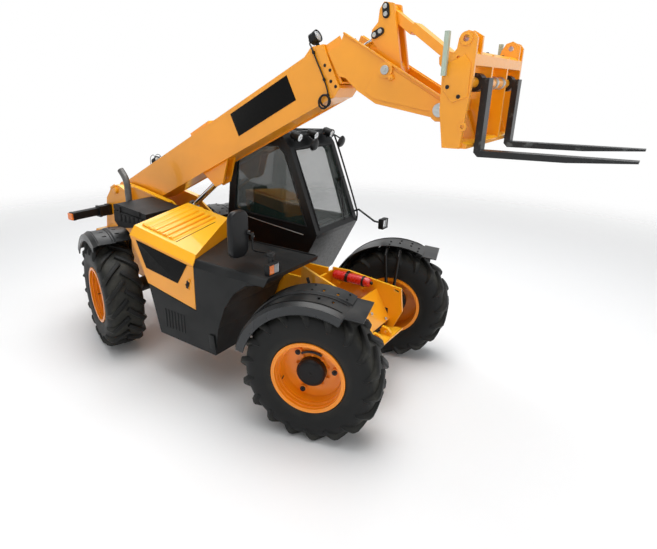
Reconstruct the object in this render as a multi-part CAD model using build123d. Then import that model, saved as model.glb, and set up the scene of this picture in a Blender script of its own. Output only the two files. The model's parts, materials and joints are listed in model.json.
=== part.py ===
from build123d import *
import math
import os

os.makedirs("parts", exist_ok=True)

# A telehandler: a four-wheel-steer forklift truck with a two-stage telescopic boom, the cab on its
# left, the engine pod on its right, and a fork carriage on the boom's nose.
# Frame: +X forwards, +Y to the left, +Z up, in millimetres. While it is modelled, X is counted from
# the rear axle and Z from the ground. On export X moves to the middle of the whole machine.

# ---------------------------------------------------------------- driving dimensions
WHEELBASE = 2750.0
TRACK = 1810.0
TYRE_RADIUS = 628.0
TYRE_WIDTH = 420.0
RIM_RADIUS = 306.0
RIM_LIP = 26.0
LUG_HEIGHT = 36.0
LUG_WIDTH = 50.0
LUG_COUNT = 18
TYRE_SIDES = 26
DISC_Y = -30.0
DISC_THICK = 14.0
HUB_RADIUS = 128.0
HUB_BORE = 62.0
GUARD_SKIN = 8.0
GUARD_STEP = 16.0
LUG_SKEW = 42.0
KINGPIN_INSET = 200.0
KINGPIN_RADIUS = 38.0
FRONT_STEER = 16.0
REAR_STEER = -20.0
AXLE_TUBE_RADIUS = 88.0
AXLE_NOSE_Z = TYRE_RADIUS
RUNNING_GAP = 0.5
MOVING_GAP = 10.0
STRUT_RADIUS = 17.0
STACK_RADIUS = 32.0

PIVOT_X = -660.0
PIVOT_Z = 1680.0
PIVOT_RADIUS = 45.0
BOOM_ANGLE = 27.0
BOOM_HALF_WIDTH = 155.0
BOOM_TOP = 60.0
BOOM_BOTTOM = -335.0
BOOM_WALL = 9.0
BOOM_LENGTH = 3400.0
SLIDE_GAP = 8.0
INNER_REAR = 760.0
HEAD_HALF_WIDTH = 160.0
HEAD_PLATE = 34.0

REAR_X = -960.0
CHASSIS_INNER = 185.0
NOSE_INNER = 285.0
CHASSIS_PLATE = 26.0
UPRIGHT_OUT = 290.0
WEIGHT_HALF_WIDTH = 420.0
HITCH_HOLE = 17.0
JAW_PLATE = 24.0
TOW_PLATE = 36.0
TOW_HOLE = 19.0
FRAME_BOTTOM = 430.0

CAB_RIGHT = CHASSIS_INNER + CHASSIS_PLATE + 9
CAB_LEFT = 1100.0
CAB_WALL = 42.0
GLASS = 8.0
DOOR_GAP = 6.0

POD_OUTER = -1085.0
POD_INNER = -262.0
POD_WALL = 20.0
BONNET_GAP = 6.0
BODY_SETBACK = 2750.0
LEDGE_Z = 1370.0
COWL_TOP = 1405.0
RIDGE_COUNT = 5
AIR_BOX_FOOT = 2 * TYRE_RADIUS + 174
ROOF_FRONT = 1640.0
BOTTLE_Y = 230.0
BOTTLE_Z = 1050.0
HINGE_RADIUS = 16.0
BONNET_HINGE_RADIUS = 12.0
BONNET_HINGE_Z = 1652.0

LIFT_BASE = (-420.0, 870.0)
LIFT_EYE = (1587.0, -484.0)
LIFT_Y = -50.0
LIFT_HALF = 40.0
LIFT_RETRACT = 440.0
LIFT_BARREL_SHARE = 0.66
LEVER_PIVOT = (BOOM_LENGTH + 443.0, -410.0)
LEVER_TOP = (BOOM_LENGTH + 581.0, 17.0)
TILT_EYE = (BOOM_LENGTH + 453.0, -100.0)
TILT_BASE = (BOOM_LENGTH - 700.0, -150.0)
TILT_RETRACT = 145.0
TILT_BARREL_SHARE = 0.70
LINK_EYE = (BOOM_LENGTH + 900.0, -600.0)
NOSE_PIN = (BOOM_LENGTH + 750.0, -895.0)

CARRIAGE_HALF_WIDTH = 620.0
CARRIAGE_PLATE = 28.0
CARRIAGE_PIN_HOLE = 20.0
LOCK_HOLE = 13.0
NOSE_TO_FORK = 356.0
NOSE_TO_BLADE = 296.0
FORK_HEIGHT = 520.0
FORK_LENGTH = 970.0
FORK_THICK = 46.0
FORK_WIDTH = 100.0
FORK_SPREAD = 400.0
FORK_SHAFT_RADIUS = 34.0


# ---------------------------------------------------------------- shape helpers
def outline(points, rounding=0.0):
    """Closed face in the XZ plane through (x, z) points, with its corners rounded if asked."""
    face = make_face(Polyline(*[(x, 0, z) for x, z in points], close=True))
    return fillet(face.vertices(), rounding) if rounding else face


def plate(points, y_low, y_high, rounding=0.0):
    """Plate with an XZ outline, standing between two Y values."""
    return Pos(0, y_low, 0) * extrude(outline(points, rounding), amount=y_high - y_low, dir=(0, 1, 0))


def block(x_span, y_span, z_span):
    """Box between low and high values on each axis."""
    spans = (x_span, y_span, z_span)
    return Pos(*[(low + high) / 2 for low, high in spans]) * Box(*[high - low for low, high in spans])


def pin(x, z, radius, y_low, y_high):
    """Cylinder along Y."""
    return Pos(x, (y_low + y_high) / 2, z) * Rot(90, 0, 0) * Cylinder(radius, y_high - y_low)


def rod(start, end, radius):
    """Cylinder between two points."""
    direction = Vector(*end) - Vector(*start)
    base = (Align.CENTER, Align.CENTER, Align.MIN)
    return Plane(origin=start, z_dir=direction) * Cylinder(radius, direction.length, align=base)


def bent_tube(points, radius):
    """Tube along straight runs that meet in mitres."""
    path = Polyline(*points)
    start = Plane(origin=path @ 0, z_dir=path % 0)
    return sweep(start * Circle(radius), path=path, transition=Transition.RIGHT)


def turned(profile):
    """Solid turned about the Y axis from a closed profile of (radius, y) points."""
    return revolve(make_face(Polyline(*[(r, y, 0) for r, y in profile], close=True)), axis=Axis.Y)


def both_sides(shape):
    """A right-hand shape and its mirror image on the left."""
    return shape + mirror(shape, about=Plane.XZ)


BOOM_FRAME = Location((PIVOT_X, 0, PIVOT_Z), (0, -BOOM_ANGLE, 0))


def boom_point(u, v):
    """Machine X and Z of a point u along the boom and v above its centre line."""
    place = (BOOM_FRAME * Pos(u, 0, v)).position
    return place.X, place.Z


def angle_to(start, end):
    """Direction from start to end, in degrees, for two (x, z) points."""
    return math.degrees(math.atan2(end[1] - start[1], end[0] - start[0]))


# ---------------------------------------------------------------- wheels, knuckles, guards
def flat_ring(section, sides):
    """Flat-faced ring about the Y axis, from a closed loop of (radius, y) points."""
    corners = []
    for index in range(sides):
        angle = math.radians(360.0 * index / sides)
        corners.append([Vector(r * math.cos(angle), y, r * math.sin(angle)) for r, y in section])
    faces = []
    for index in range(sides):
        here = corners[index]
        ahead = corners[(index + 1) % sides]
        for step in range(len(section)):
            after = (step + 1) % len(section)
            faces.append(Face(Wire.make_polygon([here[step], here[after], ahead[after], ahead[step]])))
    ring = Solid(Shell(faces))
    return ring if ring.volume > 0 else -ring


def tyre_carcass():
    """Flat-faced carcass: bead, bulged wall, shoulder and crown."""
    crown = TYRE_RADIUS - LUG_HEIGHT
    half = TYRE_WIDTH / 2
    bead = RIM_RADIUS / math.cos(math.pi / TYRE_SIDES)
    wall = [
        (bead, half * 0.80),
        (RIM_RADIUS * 0.4 + crown * 0.6, half),
        (crown, half * 0.72),
    ]
    return flat_ring(wall + [(radius, -y) for radius, y in reversed(wall)], TYRE_SIDES)


def lug_top(reach):
    """Height of a skewed bar's top face, at a reach along it, so that it keeps within the radius."""
    skew = math.radians(LUG_SKEW)
    aside = reach * math.sin(skew) + LUG_WIDTH / 2 * math.cos(skew)
    return math.sqrt(TYRE_RADIUS ** 2 - aside ** 2)


def tyre_lug():
    """One bar of the tread, from the crown's middle out over the right shoulder."""
    reach = (TYRE_WIDTH / 2) / math.cos(math.radians(LUG_SKEW))
    crown = TYRE_RADIUS - LUG_HEIGHT
    shoulder = reach * 0.80
    profile = [
        (-8, crown - 24), (-8, lug_top(8)), (-shoulder, lug_top(shoulder)),
        (-reach * 0.98, crown - 138), (-reach * 0.6, crown - 60),
    ]
    face = make_face(Polyline(*[(0, y, z) for y, z in profile], close=True))
    bar = Pos(-LUG_WIDTH / 2, 0, 0) * extrude(face, amount=LUG_WIDTH, dir=(1, 0, 0))
    return Rot(0, 0, LUG_SKEW) * bar


def tyre():
    """Carcass with its chevron of lugs, the two sides half a pitch apart."""
    lug = tyre_lug()
    pitch = 360.0 / LUG_COUNT
    bars = []
    for index in range(LUG_COUNT):
        bars.append(Rot(0, index * pitch, 0) * lug)
        bars.append(Rot(0, (index + 0.5) * pitch, 0) * mirror(lug, about=Plane.XZ))
    return tyre_carcass().fuse(*bars)


def rim():
    """Deep-dished rim: rolled lips, stepped barrel and a flat disc with the hub's hole."""
    half = TYRE_WIDTH / 2
    lip = RIM_RADIUS + RIM_LIP - 4
    seat = RIM_RADIUS - 0.3
    barrel = seat - 10.0
    profile = [
        (lip, -half * 0.92), (lip, -half * 0.84), (seat, -half * 0.84), (seat, half * 0.84),
        (lip, half * 0.84), (lip, half * 0.92), (barrel, half * 0.92), (barrel, DISC_Y + DISC_THICK),
        (HUB_RADIUS, DISC_Y + DISC_THICK), (HUB_RADIUS, DISC_Y), (barrel - 36, DISC_Y),
        (barrel - 24, -half * 0.45), (barrel - 12, -half * 0.45), (barrel - 12, -half * 0.70),
        (barrel, -half * 0.70), (barrel, -half * 0.92),
    ]
    return turned(profile)


def hub():
    """Planetary hub that carries the rim's disc, with a flat cap."""
    profile = [
        (HUB_BORE, 60), (HUB_RADIUS + 34, 60), (HUB_RADIUS + 34, DISC_Y + DISC_THICK),
        (HUB_RADIUS - 0.3, DISC_Y + DISC_THICK), (HUB_RADIUS - 0.3, DISC_Y - 60),
        (HUB_RADIUS - 14, DISC_Y - 74), (0, DISC_Y - 74), (0, -70), (HUB_BORE, -70),
    ]
    return turned(profile)


def guard(front_angle, rear_angle, radius, lip, flat_front):
    """Mudguard that wraps the tyre between two angles: raised inner strip, outer strip and lip."""
    half = TYRE_WIDTH / 2
    inner_edge = half + 5
    outer_edge = -half - 5
    section = [
        (radius + GUARD_STEP, inner_edge), (radius + GUARD_STEP, 30), (radius, 18),
        (radius, outer_edge + 46),
        (radius - 26, outer_edge), (radius - lip, outer_edge), (radius - lip, outer_edge + GUARD_SKIN),
        (radius - 32, outer_edge + GUARD_SKIN), (radius - GUARD_SKIN, outer_edge + 46 + 3),
        (radius - GUARD_SKIN, 22), (radius + GUARD_STEP - GUARD_SKIN, 34),
        (radius + GUARD_STEP - GUARD_SKIN, inner_edge),
    ]
    face = make_face(Polyline(*[(r, y, 0) for r, y in section], close=True))
    skin = revolve(Rot(0, -rear_angle, 0) * face, axis=Axis.Y, revolution_arc=rear_angle - front_angle)
    for angle in (front_angle + 12, front_angle + 22):
        for y in (-60, 80):
            skin = skin - Rot(0, -angle, 0) * Pos(radius, y, 0) * Box(3 * GUARD_STEP + 20, 44, 22)
    if flat_front:
        start = math.radians(front_angle)
        x = radius * math.cos(start)
        z = radius * math.sin(start)
        tail = [
            (x - 8, z + 4), (x + flat_front, z - flat_front * 0.10),
            (x + flat_front, z - flat_front * 0.10 - GUARD_SKIN), (x - 8, z - GUARD_SKIN),
        ]
        skin = skin + plate(tail, outer_edge, inner_edge)
    return skin


def knuckle(front):
    """Steered carrier: kingpin lugs, spindle, steering arm and the guard's two struts."""
    reach = -(KINGPIN_INSET - 62)
    yoke = block((-55, 55), (reach, reach + 46), (-150, 150))
    for z in (-150, 120):
        yoke = yoke + block((-48, 48), (reach, 48), (z, z + 30))
    post = Cylinder(KINGPIN_RADIUS, 300)
    spindle = rod((0, reach, 0), (0, -KINGPIN_INSET - 60, 0), HUB_BORE - 4)
    arm = block((-210, 0), (-40, 20), (-150, -126)) if front else block((0, 210), (-40, 20), (-150, -126))
    return yoke + post + spindle + arm


# corner, axle X, side (-1 right, 1 left), rest steering angle
CORNERS = [
    ("front_right", WHEELBASE, -1, FRONT_STEER),
    ("front_left", WHEELBASE, 1, FRONT_STEER),
    ("rear_right", 0.0, -1, REAR_STEER),
    ("rear_left", 0.0, 1, REAR_STEER),
]
KINGPIN_Y = TRACK / 2 - KINGPIN_INSET


def corner_place(axle_x, side, steer):
    """Place of a corner's kingpin, turned by its steering angle."""
    return Pos(axle_x, side * KINGPIN_Y, TYRE_RADIUS) * Rot(0, 0, steer)


def handed(shape, side):
    """A right-hand shape for the right, mirrored for the left."""
    return shape if side < 0 else mirror(shape, about=Plane.XZ)


parts = {}
GUARD_RADIUS = TYRE_RADIUS + 62
REAR_GUARD_RADIUS = GUARD_RADIUS + 55
right_tyre = tyre()
right_rim = rim()
right_hub = hub()
front_guard = guard(64, 166, GUARD_RADIUS, 90, 150)
rear_guard = guard(66, 146, REAR_GUARD_RADIUS, 90, 0)
for name, axle_x, side, steer in CORNERS:
    front = axle_x > 0
    place = corner_place(axle_x, side, steer)
    wheel_place = place * Pos(0, side * KINGPIN_INSET, 0)
    parts["tyre_" + name] = wheel_place * handed(right_tyre, side)
    parts["rim_" + name] = wheel_place * handed(right_rim, side)
    parts["hub_" + name] = wheel_place * handed(right_hub, side)
    carrier = knuckle(front)
    radius = GUARD_RADIUS if front else REAR_GUARD_RADIUS
    for x in (-70, 70):
        top = math.sqrt((radius - GUARD_SKIN - STRUT_RADIUS - 1) ** 2 - x ** 2) - 1
        route = [(x, 30, 130), (x * 0.6, 44, 240), (x, 44, top - 60), (x, -10, top), (x, -300, top)]
        carrier = carrier + bent_tube(route, STRUT_RADIUS)
    parts["knuckle_" + name] = place * handed(carrier, side)
    skin = front_guard if front else rear_guard
    parts["guard_" + name] = wheel_place * handed(skin, side)


# ---------------------------------------------------------------- axles
def axle(diff_side):
    """Drive axle: housing, differential and the yokes that hold the kingpins."""
    tube = pin(0, 0, AXLE_TUBE_RADIUS, -KINGPIN_Y + 110, KINGPIN_Y - 110)
    centre = turned([
        (0, -190), (AXLE_TUBE_RADIUS, -190), (165, -60), (165, 60), (AXLE_TUBE_RADIUS, 190), (0, 190),
    ])
    yokes = Part()
    for side in (-1, 1):
        y_near = side * (KINGPIN_Y - 115)
        y_far = side * (KINGPIN_Y + 44)
        span = (min(y_near, y_far), max(y_near, y_far))
        for z in (-116, 84):
            ear = block((-46, 46), span, (z, z + 32))
            bore = Pos(0, side * KINGPIN_Y, 0) * Cylinder(KINGPIN_RADIUS + RUNNING_GAP, 300)
            yokes = yokes + (ear - bore)
        web = (min(y_near, y_near + side * 34), max(y_near, y_near + side * 34))
        yokes = yokes + block((-60, 60), web, (-116, 116))
    nose = rod((0, 0, 0), (diff_side * 240, 0, 0), 74)
    back = -diff_side * 132
    ram_barrel = Pos(back, 0, 0) * pin(0, 0, 36, -260, 260)
    ram_rod = Pos(back, 0, 0) * pin(0, 0, 20, -430, 430)
    clamps = Part()
    for y in (-230, 200):
        clamps = clamps + block((min(0, back), max(0, back)), (y, y + 30), (-30, 30))
    return tube + centre + yokes + nose + ram_barrel + ram_rod + clamps


parts["front_axle"] = Pos(WHEELBASE, 0, TYRE_RADIUS) * axle(-1)
parts["rear_axle"] = Pos(0, 0, TYRE_RADIUS) * axle(1)

# ---------------------------------------------------------------- chassis
NOSE_X = WHEELBASE + 330
AXLE_SEAT = TYRE_RADIUS + 172
BULKHEAD_X = WHEELBASE - 500
BULKHEAD_TOP = 1060.0
PLATE_OUT = CHASSIS_INNER + CHASSIS_PLATE
NOSE_OUT = NOSE_INNER + CHASSIS_PLATE
frame_side = [
    (REAR_X, 620), (REAR_X, 1150), (REAR_X + 80, 1580), (PIVOT_X - 100, PIVOT_Z + 20),
    (PIVOT_X - 30, PIVOT_Z + 60), (PIVOT_X + 150, PIVOT_Z + 100), (PIVOT_X + 340, PIVOT_Z + 80),
    (300, 1650), (780, 1330), (1250, 1120), (BULKHEAD_X, 1120), (BULKHEAD_X, FRAME_BOTTOM),
    (230, FRAME_BOTTOM), (190, AXLE_SEAT), (-190, AXLE_SEAT), (-240, 520),
]
nose_low = [
    (WHEELBASE + 240, 590), (WHEELBASE + 185, 590), (WHEELBASE + 175, AXLE_SEAT),
    (WHEELBASE - 190, AXLE_SEAT), (WHEELBASE - 230, 640), (BULKHEAD_X, 640),
]
far_nose = [(BULKHEAD_X, 1100), (WHEELBASE - 300, 1105), (NOSE_X - 30, 1040), (NOSE_X, 800)]
far_nose = far_nose + nose_low
near_nose = [(BULKHEAD_X, 1290), (WHEELBASE - 130, 1165), (WHEELBASE + 30, 1085), (NOSE_X - 10, 780)]
near_nose = near_nose + nose_low
chassis = both_sides(plate(frame_side, -PLATE_OUT, -CHASSIS_INNER))
chassis = chassis + plate(far_nose, NOSE_INNER, NOSE_OUT) + plate(near_nose, -NOSE_OUT, -NOSE_INNER)
bulkhead_x = (BULKHEAD_X - CHASSIS_PLATE, BULKHEAD_X)
chassis = chassis + block(bulkhead_x, (-NOSE_OUT, NOSE_OUT), (640, BULKHEAD_TOP))
shaft_hole = rod((BULKHEAD_X - 50, 0, AXLE_NOSE_Z), (BULKHEAD_X + 50, 0, AXLE_NOSE_Z), 60)
chassis = chassis - shaft_hole
floor_x = (430, BULKHEAD_X)
chassis = chassis + block(floor_x, (-CHASSIS_INNER, CHASSIS_INNER), (FRAME_BOTTOM, FRAME_BOTTOM + 16))
chassis = chassis + block((REAR_X, REAR_X + 30), (-CHASSIS_INNER, CHASSIS_INNER), (620, 1150))
cross = [(WHEELBASE + 20, 975), (WHEELBASE + 36, 985), (WHEELBASE + 205, 690), (WHEELBASE + 190, 680)]
chassis = chassis + plate(cross, -NOSE_INNER, NOSE_INNER)
nose_floor = [
    (WHEELBASE + 180, 590), (NOSE_X + 6, 590), (NOSE_X + 16, 600), (NOSE_X + 16, 616),
    (NOSE_X - 4, 606), (WHEELBASE + 180, 606),
]
chassis = chassis + plate(nose_floor, -NOSE_OUT, NOSE_OUT)
slot_cut = [(NOSE_X - 105, 1000), (NOSE_X - 50, 985), (NOSE_X - 50, 1012), (NOSE_X - 105, 1027)]
chassis = chassis - plate(slot_cut, NOSE_INNER - 1, NOSE_OUT + 1)
weight = [
    (REAR_X - 70, 700), (REAR_X - 70, 1100), (REAR_X - 40, 1150), (REAR_X + 90, 1150),
    (REAR_X + 90, 640), (REAR_X - 20, 640),
]
chassis = chassis + plate(weight, -WEIGHT_HALF_WIDTH, WEIGHT_HALF_WIDTH)
chassis = chassis - block((REAR_X - 80, REAR_X - 10), (-90, 90), (740, 900))
for z in (760, 858):
    chassis = chassis + block((REAR_X - 68, REAR_X), (-70, 70), (z, z + JAW_PLATE))
chassis = chassis - Pos(REAR_X - 40, 0, 770) * Cylinder(HITCH_HOLE, 290)
upright = [
    (REAR_X, 1130), (REAR_X + 80, 1560), (PIVOT_X - 100, PIVOT_Z + 20), (PIVOT_X - 60, PIVOT_Z + 60),
    (PIVOT_X + 60, PIVOT_Z + 70), (PIVOT_X + 170, PIVOT_Z + 30), (PIVOT_X + 300, 1480), (PIVOT_X + 240, 1130),
]
chassis = chassis + both_sides(plate(upright, -UPRIGHT_OUT, -PLATE_OUT))
flange = [
    (PIVOT_X + 230, PIVOT_Z + 78), (PIVOT_X + 340, PIVOT_Z + 80), (300, 1650), (300, 1634),
    (PIVOT_X + 340, PIVOT_Z + 62), (PIVOT_X + 230, PIVOT_Z + 62),
]
chassis = chassis + both_sides(plate(flange, -PLATE_OUT - 46, -PLATE_OUT))
for saddle_x, half_width in ((0, PLATE_OUT), (WHEELBASE, NOSE_OUT)):
    saddle_z = (AXLE_SEAT - 4, AXLE_SEAT + 14)
    chassis = chassis + block((saddle_x - 90, saddle_x + 90), (-half_width, half_width), saddle_z)
for y in (-110, 74):
    tow = [
        (NOSE_X - 130, 600), (NOSE_X - 16, 600), (NOSE_X - 10, 640), (NOSE_X - 50, 682), (NOSE_X - 110, 690),
    ]
    chassis = chassis + plate(tow, y, y + TOW_PLATE)
TOW_CENTRE = (NOSE_X - 62, 645)
chassis = chassis - pin(TOW_CENTRE[0], TOW_CENTRE[1], TOW_HOLE, -120, 120)
bottle_x = (WHEELBASE - 450, WHEELBASE - 10)
bracket_z = (BOTTLE_Z - 80, BOTTLE_Z - 50)
for x in (bottle_x[0] + 60, bottle_x[1] - 100):
    chassis = chassis + block((x, x + 40), (BOTTLE_Y - 30, NOSE_INNER), bracket_z)
chassis = chassis + pin(PIVOT_X, PIVOT_Z, PIVOT_RADIUS, -UPRIGHT_OUT - 20, UPRIGHT_OUT + 20)
chassis = chassis + pin(LIFT_BASE[0], LIFT_BASE[1], 30, -CHASSIS_INNER, CHASSIS_INNER)
# the side frames and the members between them are separate pieces, parted at the plates' inner faces
AHEAD = (BULKHEAD_X, NOSE_X + 100)
BEHIND = (REAR_X - 100, BULKHEAD_X)
FRAME_Z = (FRAME_BOTTOM - 10, PIVOT_Z + 200)
between = block(BEHIND, (-CHASSIS_INNER, CHASSIS_INNER), FRAME_Z)
between = between + block(AHEAD, (-NOSE_INNER, NOSE_INNER), FRAME_Z)
sides = chassis - between
parts["chassis_side_right"] = sides & block((BEHIND[0], AHEAD[1]), (-600, 0), FRAME_Z)
parts["chassis_side_left"] = sides & block((BEHIND[0], AHEAD[1]), (0, 600), FRAME_Z)
parts["chassis_cross"] = chassis & between
parts["gas_bottle"] = rod((bottle_x[0], BOTTLE_Y, BOTTLE_Z), (bottle_x[1], BOTTLE_Y, BOTTLE_Z), 50)

# ---------------------------------------------------------------- engine pod on the right
# The pod and the cab are each drawn from an origin of their own, a setback behind the front axle.
POD_X = WHEELBASE - BODY_SETBACK
engine = block((POD_X + 1000, POD_X + 1530), (-960, -420), (665, 1180))
gearbox = block((POD_X + 1150, POD_X + 1560), (-150, 150), (560, 900))
for low, high in ((260, POD_X + 1150), (POD_X + 1560, WHEELBASE - 260)):
    gearbox = gearbox + rod((low, 0, AXLE_NOSE_Z), (high, 0, AXLE_NOSE_Z), 34)
parts["engine_block"] = engine + gearbox


def pod_section(x, shoulder, crown, inner_z, bottom, trim=0.0):
    """Cross-section of the pod at x, in Y and Z, drawn in by trim on its outer sides."""
    points = [
        (POD_OUTER + trim, bottom + trim),
        (POD_OUTER + trim, shoulder - trim),
        (POD_OUTER + 70 + trim, crown - trim),
        (POD_INNER - trim, inner_z - trim),
        (POD_INNER - trim, bottom + trim),
    ]
    return make_face(Polyline(*[(x, y, z) for y, z in points], close=True))


# station x, shoulder Z, outer crown Z, inner Z, bottom Z
STATIONS = [
    (640.0, 1500.0, 1585.0, 1690.0, 1060.0),
    (1560.0, 1360.0, 1435.0, 1560.0, 900.0),
]


def bonnet_foot(x):
    """Height of the bonnet's lower edge above the ground."""
    first, last = STATIONS
    return first[4] + (x - first[0]) * (last[4] - first[4]) / (last[0] - first[0])


def ahead_of(x_inner, x_outer):
    """Everything ahead of an upright plane between two X values, on the pod's inner and outer sides."""
    turn = math.degrees(math.atan2(x_outer - x_inner, POD_INNER - POD_OUTER))
    return Pos(x_inner, POD_INNER, 0) * Rot(0, 0, turn) * block((0, 2000), (-3000, 600), (0, 2500))


FRONT_INNER = 1250.0
FRONT_OUTER = 1560.0
rear_x = STATIONS[0][0]
heel_x = rear_x + 230
heel = [
    (rear_x - 300, 1500), (rear_x, 1500), (heel_x, bonnet_foot(heel_x)), (heel_x, 500), (rear_x - 300, 500),
]
heel_wall = [(x + POD_WALL, z) for x, z in heel]
bonnet = loft([pod_section(*row) for row in STATIONS]) - plate(heel, -1200, 0)
bonnet = bonnet - ahead_of(FRONT_INNER, FRONT_OUTER)
room = loft([pod_section(x, a, b, c, d - 200, POD_WALL) for x, a, b, c, d in STATIONS])
wall_x = rear_x + POD_WALL
room = room - block((500, wall_x), (-1200, -100), (500, 1800)) - plate(heel_wall, -1200, 0)
front_room = ahead_of(FRONT_INNER - POD_WALL, FRONT_OUTER - POD_WALL)
room = room - (front_room & block((500, 1700), (-1200, 0), (LEDGE_Z, 1800)))
bonnet = bonnet - room
side_gap = [(wall_x, 1570), (FRONT_INNER - POD_WALL, 1470), (1700, 1400), (1700, 500), (wall_x, 500)]
bonnet = bonnet - (plate(side_gap, POD_INNER - 40, POD_INNER + 1) - plate(heel_wall, -1200, 0))
slope = math.degrees(math.atan2(105, 750))
ridge = [(0, -30), (0, 15), (24, 15), (80, -8), (80, -30)]
for index in range(RIDGE_COUNT):
    x = 735 + index * 92
    top = 1585 - (x - 640) * (150 / 920)
    crest = plate(ridge, 50, POD_INNER - POD_OUTER - 160)
    bonnet = bonnet + Pos(x, POD_OUTER + 70, top) * Rot(slope, 0, 0) * crest
# latch pads: X and foot
for x, foot in ((1480, 1100), (1500, 1180)):
    bonnet = bonnet + block((x - 12, x + 12), (POD_OUTER - 10, POD_OUTER), (foot, foot + 30))
hinge_y = POD_INNER + BONNET_HINGE_RADIUS
for x in (690, 810):
    hinge = rod((x, hinge_y, BONNET_HINGE_Z), (x + 50, hinge_y, BONNET_HINGE_Z), BONNET_HINGE_RADIUS)
    bonnet = bonnet + hinge
parts["bonnet"] = Pos(POD_X, 0, 0) * bonnet

arch = [
    (1800, 490), (1850, 790), (1945, 1030), (2065, 1200), (2210, 1310), (2400, 1365), (2410, COWL_TOP),
]
lower = [(880, 1500), (880, bonnet_foot(880) - BONNET_GAP), (1010, 500)] + arch
lower = lower + [(FRONT_INNER, COWL_TOP), (FRONT_INNER, 1500)]
cowl_lid = COWL_TOP - POD_WALL
inner_arch = [(1780, 515), (1828, 800), (1926, 1043), (2052, 1218), (2160, 1300), (2160, cowl_lid)]
cowl = plate(lower, POD_OUTER, POD_INNER)
hatch_feet = [(x, bonnet_foot(x) - BONNET_GAP) for x in (500, 2000)]
hatch_room = plate(hatch_feet + [(2000, 2000), (500, 2000)], -1300, 0)
hatch_room = hatch_room - ahead_of(FRONT_INNER + BONNET_GAP, FRONT_OUTER + BONNET_GAP)
inner_wall = [
    (rear_x + 290, bonnet_foot(rear_x + 290) - 60), (rear_x + 60, 1480), (rear_x + 60, 1550),
    (FRONT_INNER, 1455), (FRONT_INNER, 1000),
]
cowl = cowl - hatch_room
cowl_room = [(870, 1500), (905, bonnet_foot(905) - 100), (1030, 520)] + inner_arch + [(870, cowl_lid)]
cowl = cowl - plate(cowl_room, POD_OUTER + POD_WALL, POD_INNER - POD_WALL)
cowl = cowl + plate(inner_wall, POD_INNER - 18, POD_INNER)
bevel = Pos(0, POD_OUTER, COWL_TOP - 60) * Rot(45, 0, 0) * block((500, 2600), (-200, 200), (0, 200))
cowl = cowl - bevel
cowl = cowl + block((1740, 1796), (POD_OUTER - 8, POD_OUTER), (560, 700))
parts["pod_cowl"] = Pos(POD_X, 0, 0) * cowl

air_side = [
    (-10, AIR_BOX_FOOT + 60), (0, AIR_BOX_FOOT + 250), (60, AIR_BOX_FOOT + 262), (560, AIR_BOX_FOOT + 210),
    (560, AIR_BOX_FOOT + 70), (180, AIR_BOX_FOOT), (50, AIR_BOX_FOOT),
]
box = plate(air_side, -800, -300)
lid_seam = [
    (-20, AIR_BOX_FOOT + 190), (570, AIR_BOX_FOOT + 140), (570, AIR_BOX_FOOT + 150), (-20, AIR_BOX_FOOT + 200),
]
box = box - plate(lid_seam, -810, -785)
stack_foot = AIR_BOX_FOOT + 130
stack_route = [
    (-50, -550, stack_foot), (-50, -550, stack_foot + 300), (-75, -550, stack_foot + 380),
    (-140, -550, stack_foot + 450),
]
stack_base = block((-90, 20), (-620, -480), (AIR_BOX_FOOT + 50, AIR_BOX_FOOT + 170))
parts["air_box"] = box + stack_base + bent_tube(stack_route, STACK_RADIUS)


# ---------------------------------------------------------------- boom
def from_collar(points):
    """Boom points given as distances ahead of the outer boom's front end."""
    return [(BOOM_LENGTH + u, v) for u, v in points]


bore = PIVOT_RADIUS + RUNNING_GAP
outer_side = [
    (-120, -130), (-120, 70), (BOOM_LENGTH - 220, BOOM_TOP), (BOOM_LENGTH - 120, 100), (BOOM_LENGTH, 57),
    (BOOM_LENGTH, -341), (BOOM_LENGTH - 83, -384), (BOOM_LENGTH - 500, BOOM_BOTTOM - 20),
    (1000, BOOM_BOTTOM), (500, BOOM_BOTTOM), (150, -200),
]
cavity_low = BOOM_BOTTOM + BOOM_WALL + 14
cavity_high = BOOM_TOP - BOOM_WALL
cavity_half = BOOM_HALF_WIDTH - BOOM_WALL
outer = plate(outer_side, -BOOM_HALF_WIDTH, BOOM_HALF_WIDTH)
outer = outer - block((560, BOOM_LENGTH + 10), (-cavity_half, cavity_half), (cavity_low, cavity_high))
outer = outer - block((140, 545), (-cavity_half, cavity_half), (-180, cavity_high))
outer = outer - pin(0, 0, bore, -BOOM_HALF_WIDTH - 1, BOOM_HALF_WIDTH + 1)
seam = [
    (520, BOOM_BOTTOM), (520, BOOM_BOTTOM + 30), (BOOM_LENGTH - 95, BOOM_BOTTOM - 20),
    (BOOM_LENGTH - 95, BOOM_BOTTOM - 45),
]
collar = from_collar([(-80, 82), (0, 57), (0, -341), (-80, -382)])
for strip in (seam, collar):
    outer = outer + both_sides(plate(strip, -BOOM_HALF_WIDTH - 7, -BOOM_HALF_WIDTH))
pivot_boss = pin(0, 0, 95, -BOOM_HALF_WIDTH - 14, -BOOM_HALF_WIDTH) - pin(0, 0, bore, -200, 200)
outer = outer + both_sides(pivot_boss)
lug_shape = [
    (LIFT_EYE[0] - 175, BOOM_BOTTOM + 6), (LIFT_EYE[0] - 60, LIFT_EYE[1] - 66),
    (LIFT_EYE[0] + 60, LIFT_EYE[1] - 66), (LIFT_EYE[0] + 273, BOOM_BOTTOM + 6),
]
for y in (LIFT_Y - LIFT_HALF - 28, LIFT_Y + LIFT_HALF + 6):
    outer = outer + plate(lug_shape, y, y + 22)
outer = outer + block((1400, 1730), (-60, 20), (BOOM_TOP - 2, BOOM_TOP + 70))
parts["outer_boom"] = BOOM_FRAME * outer

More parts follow.
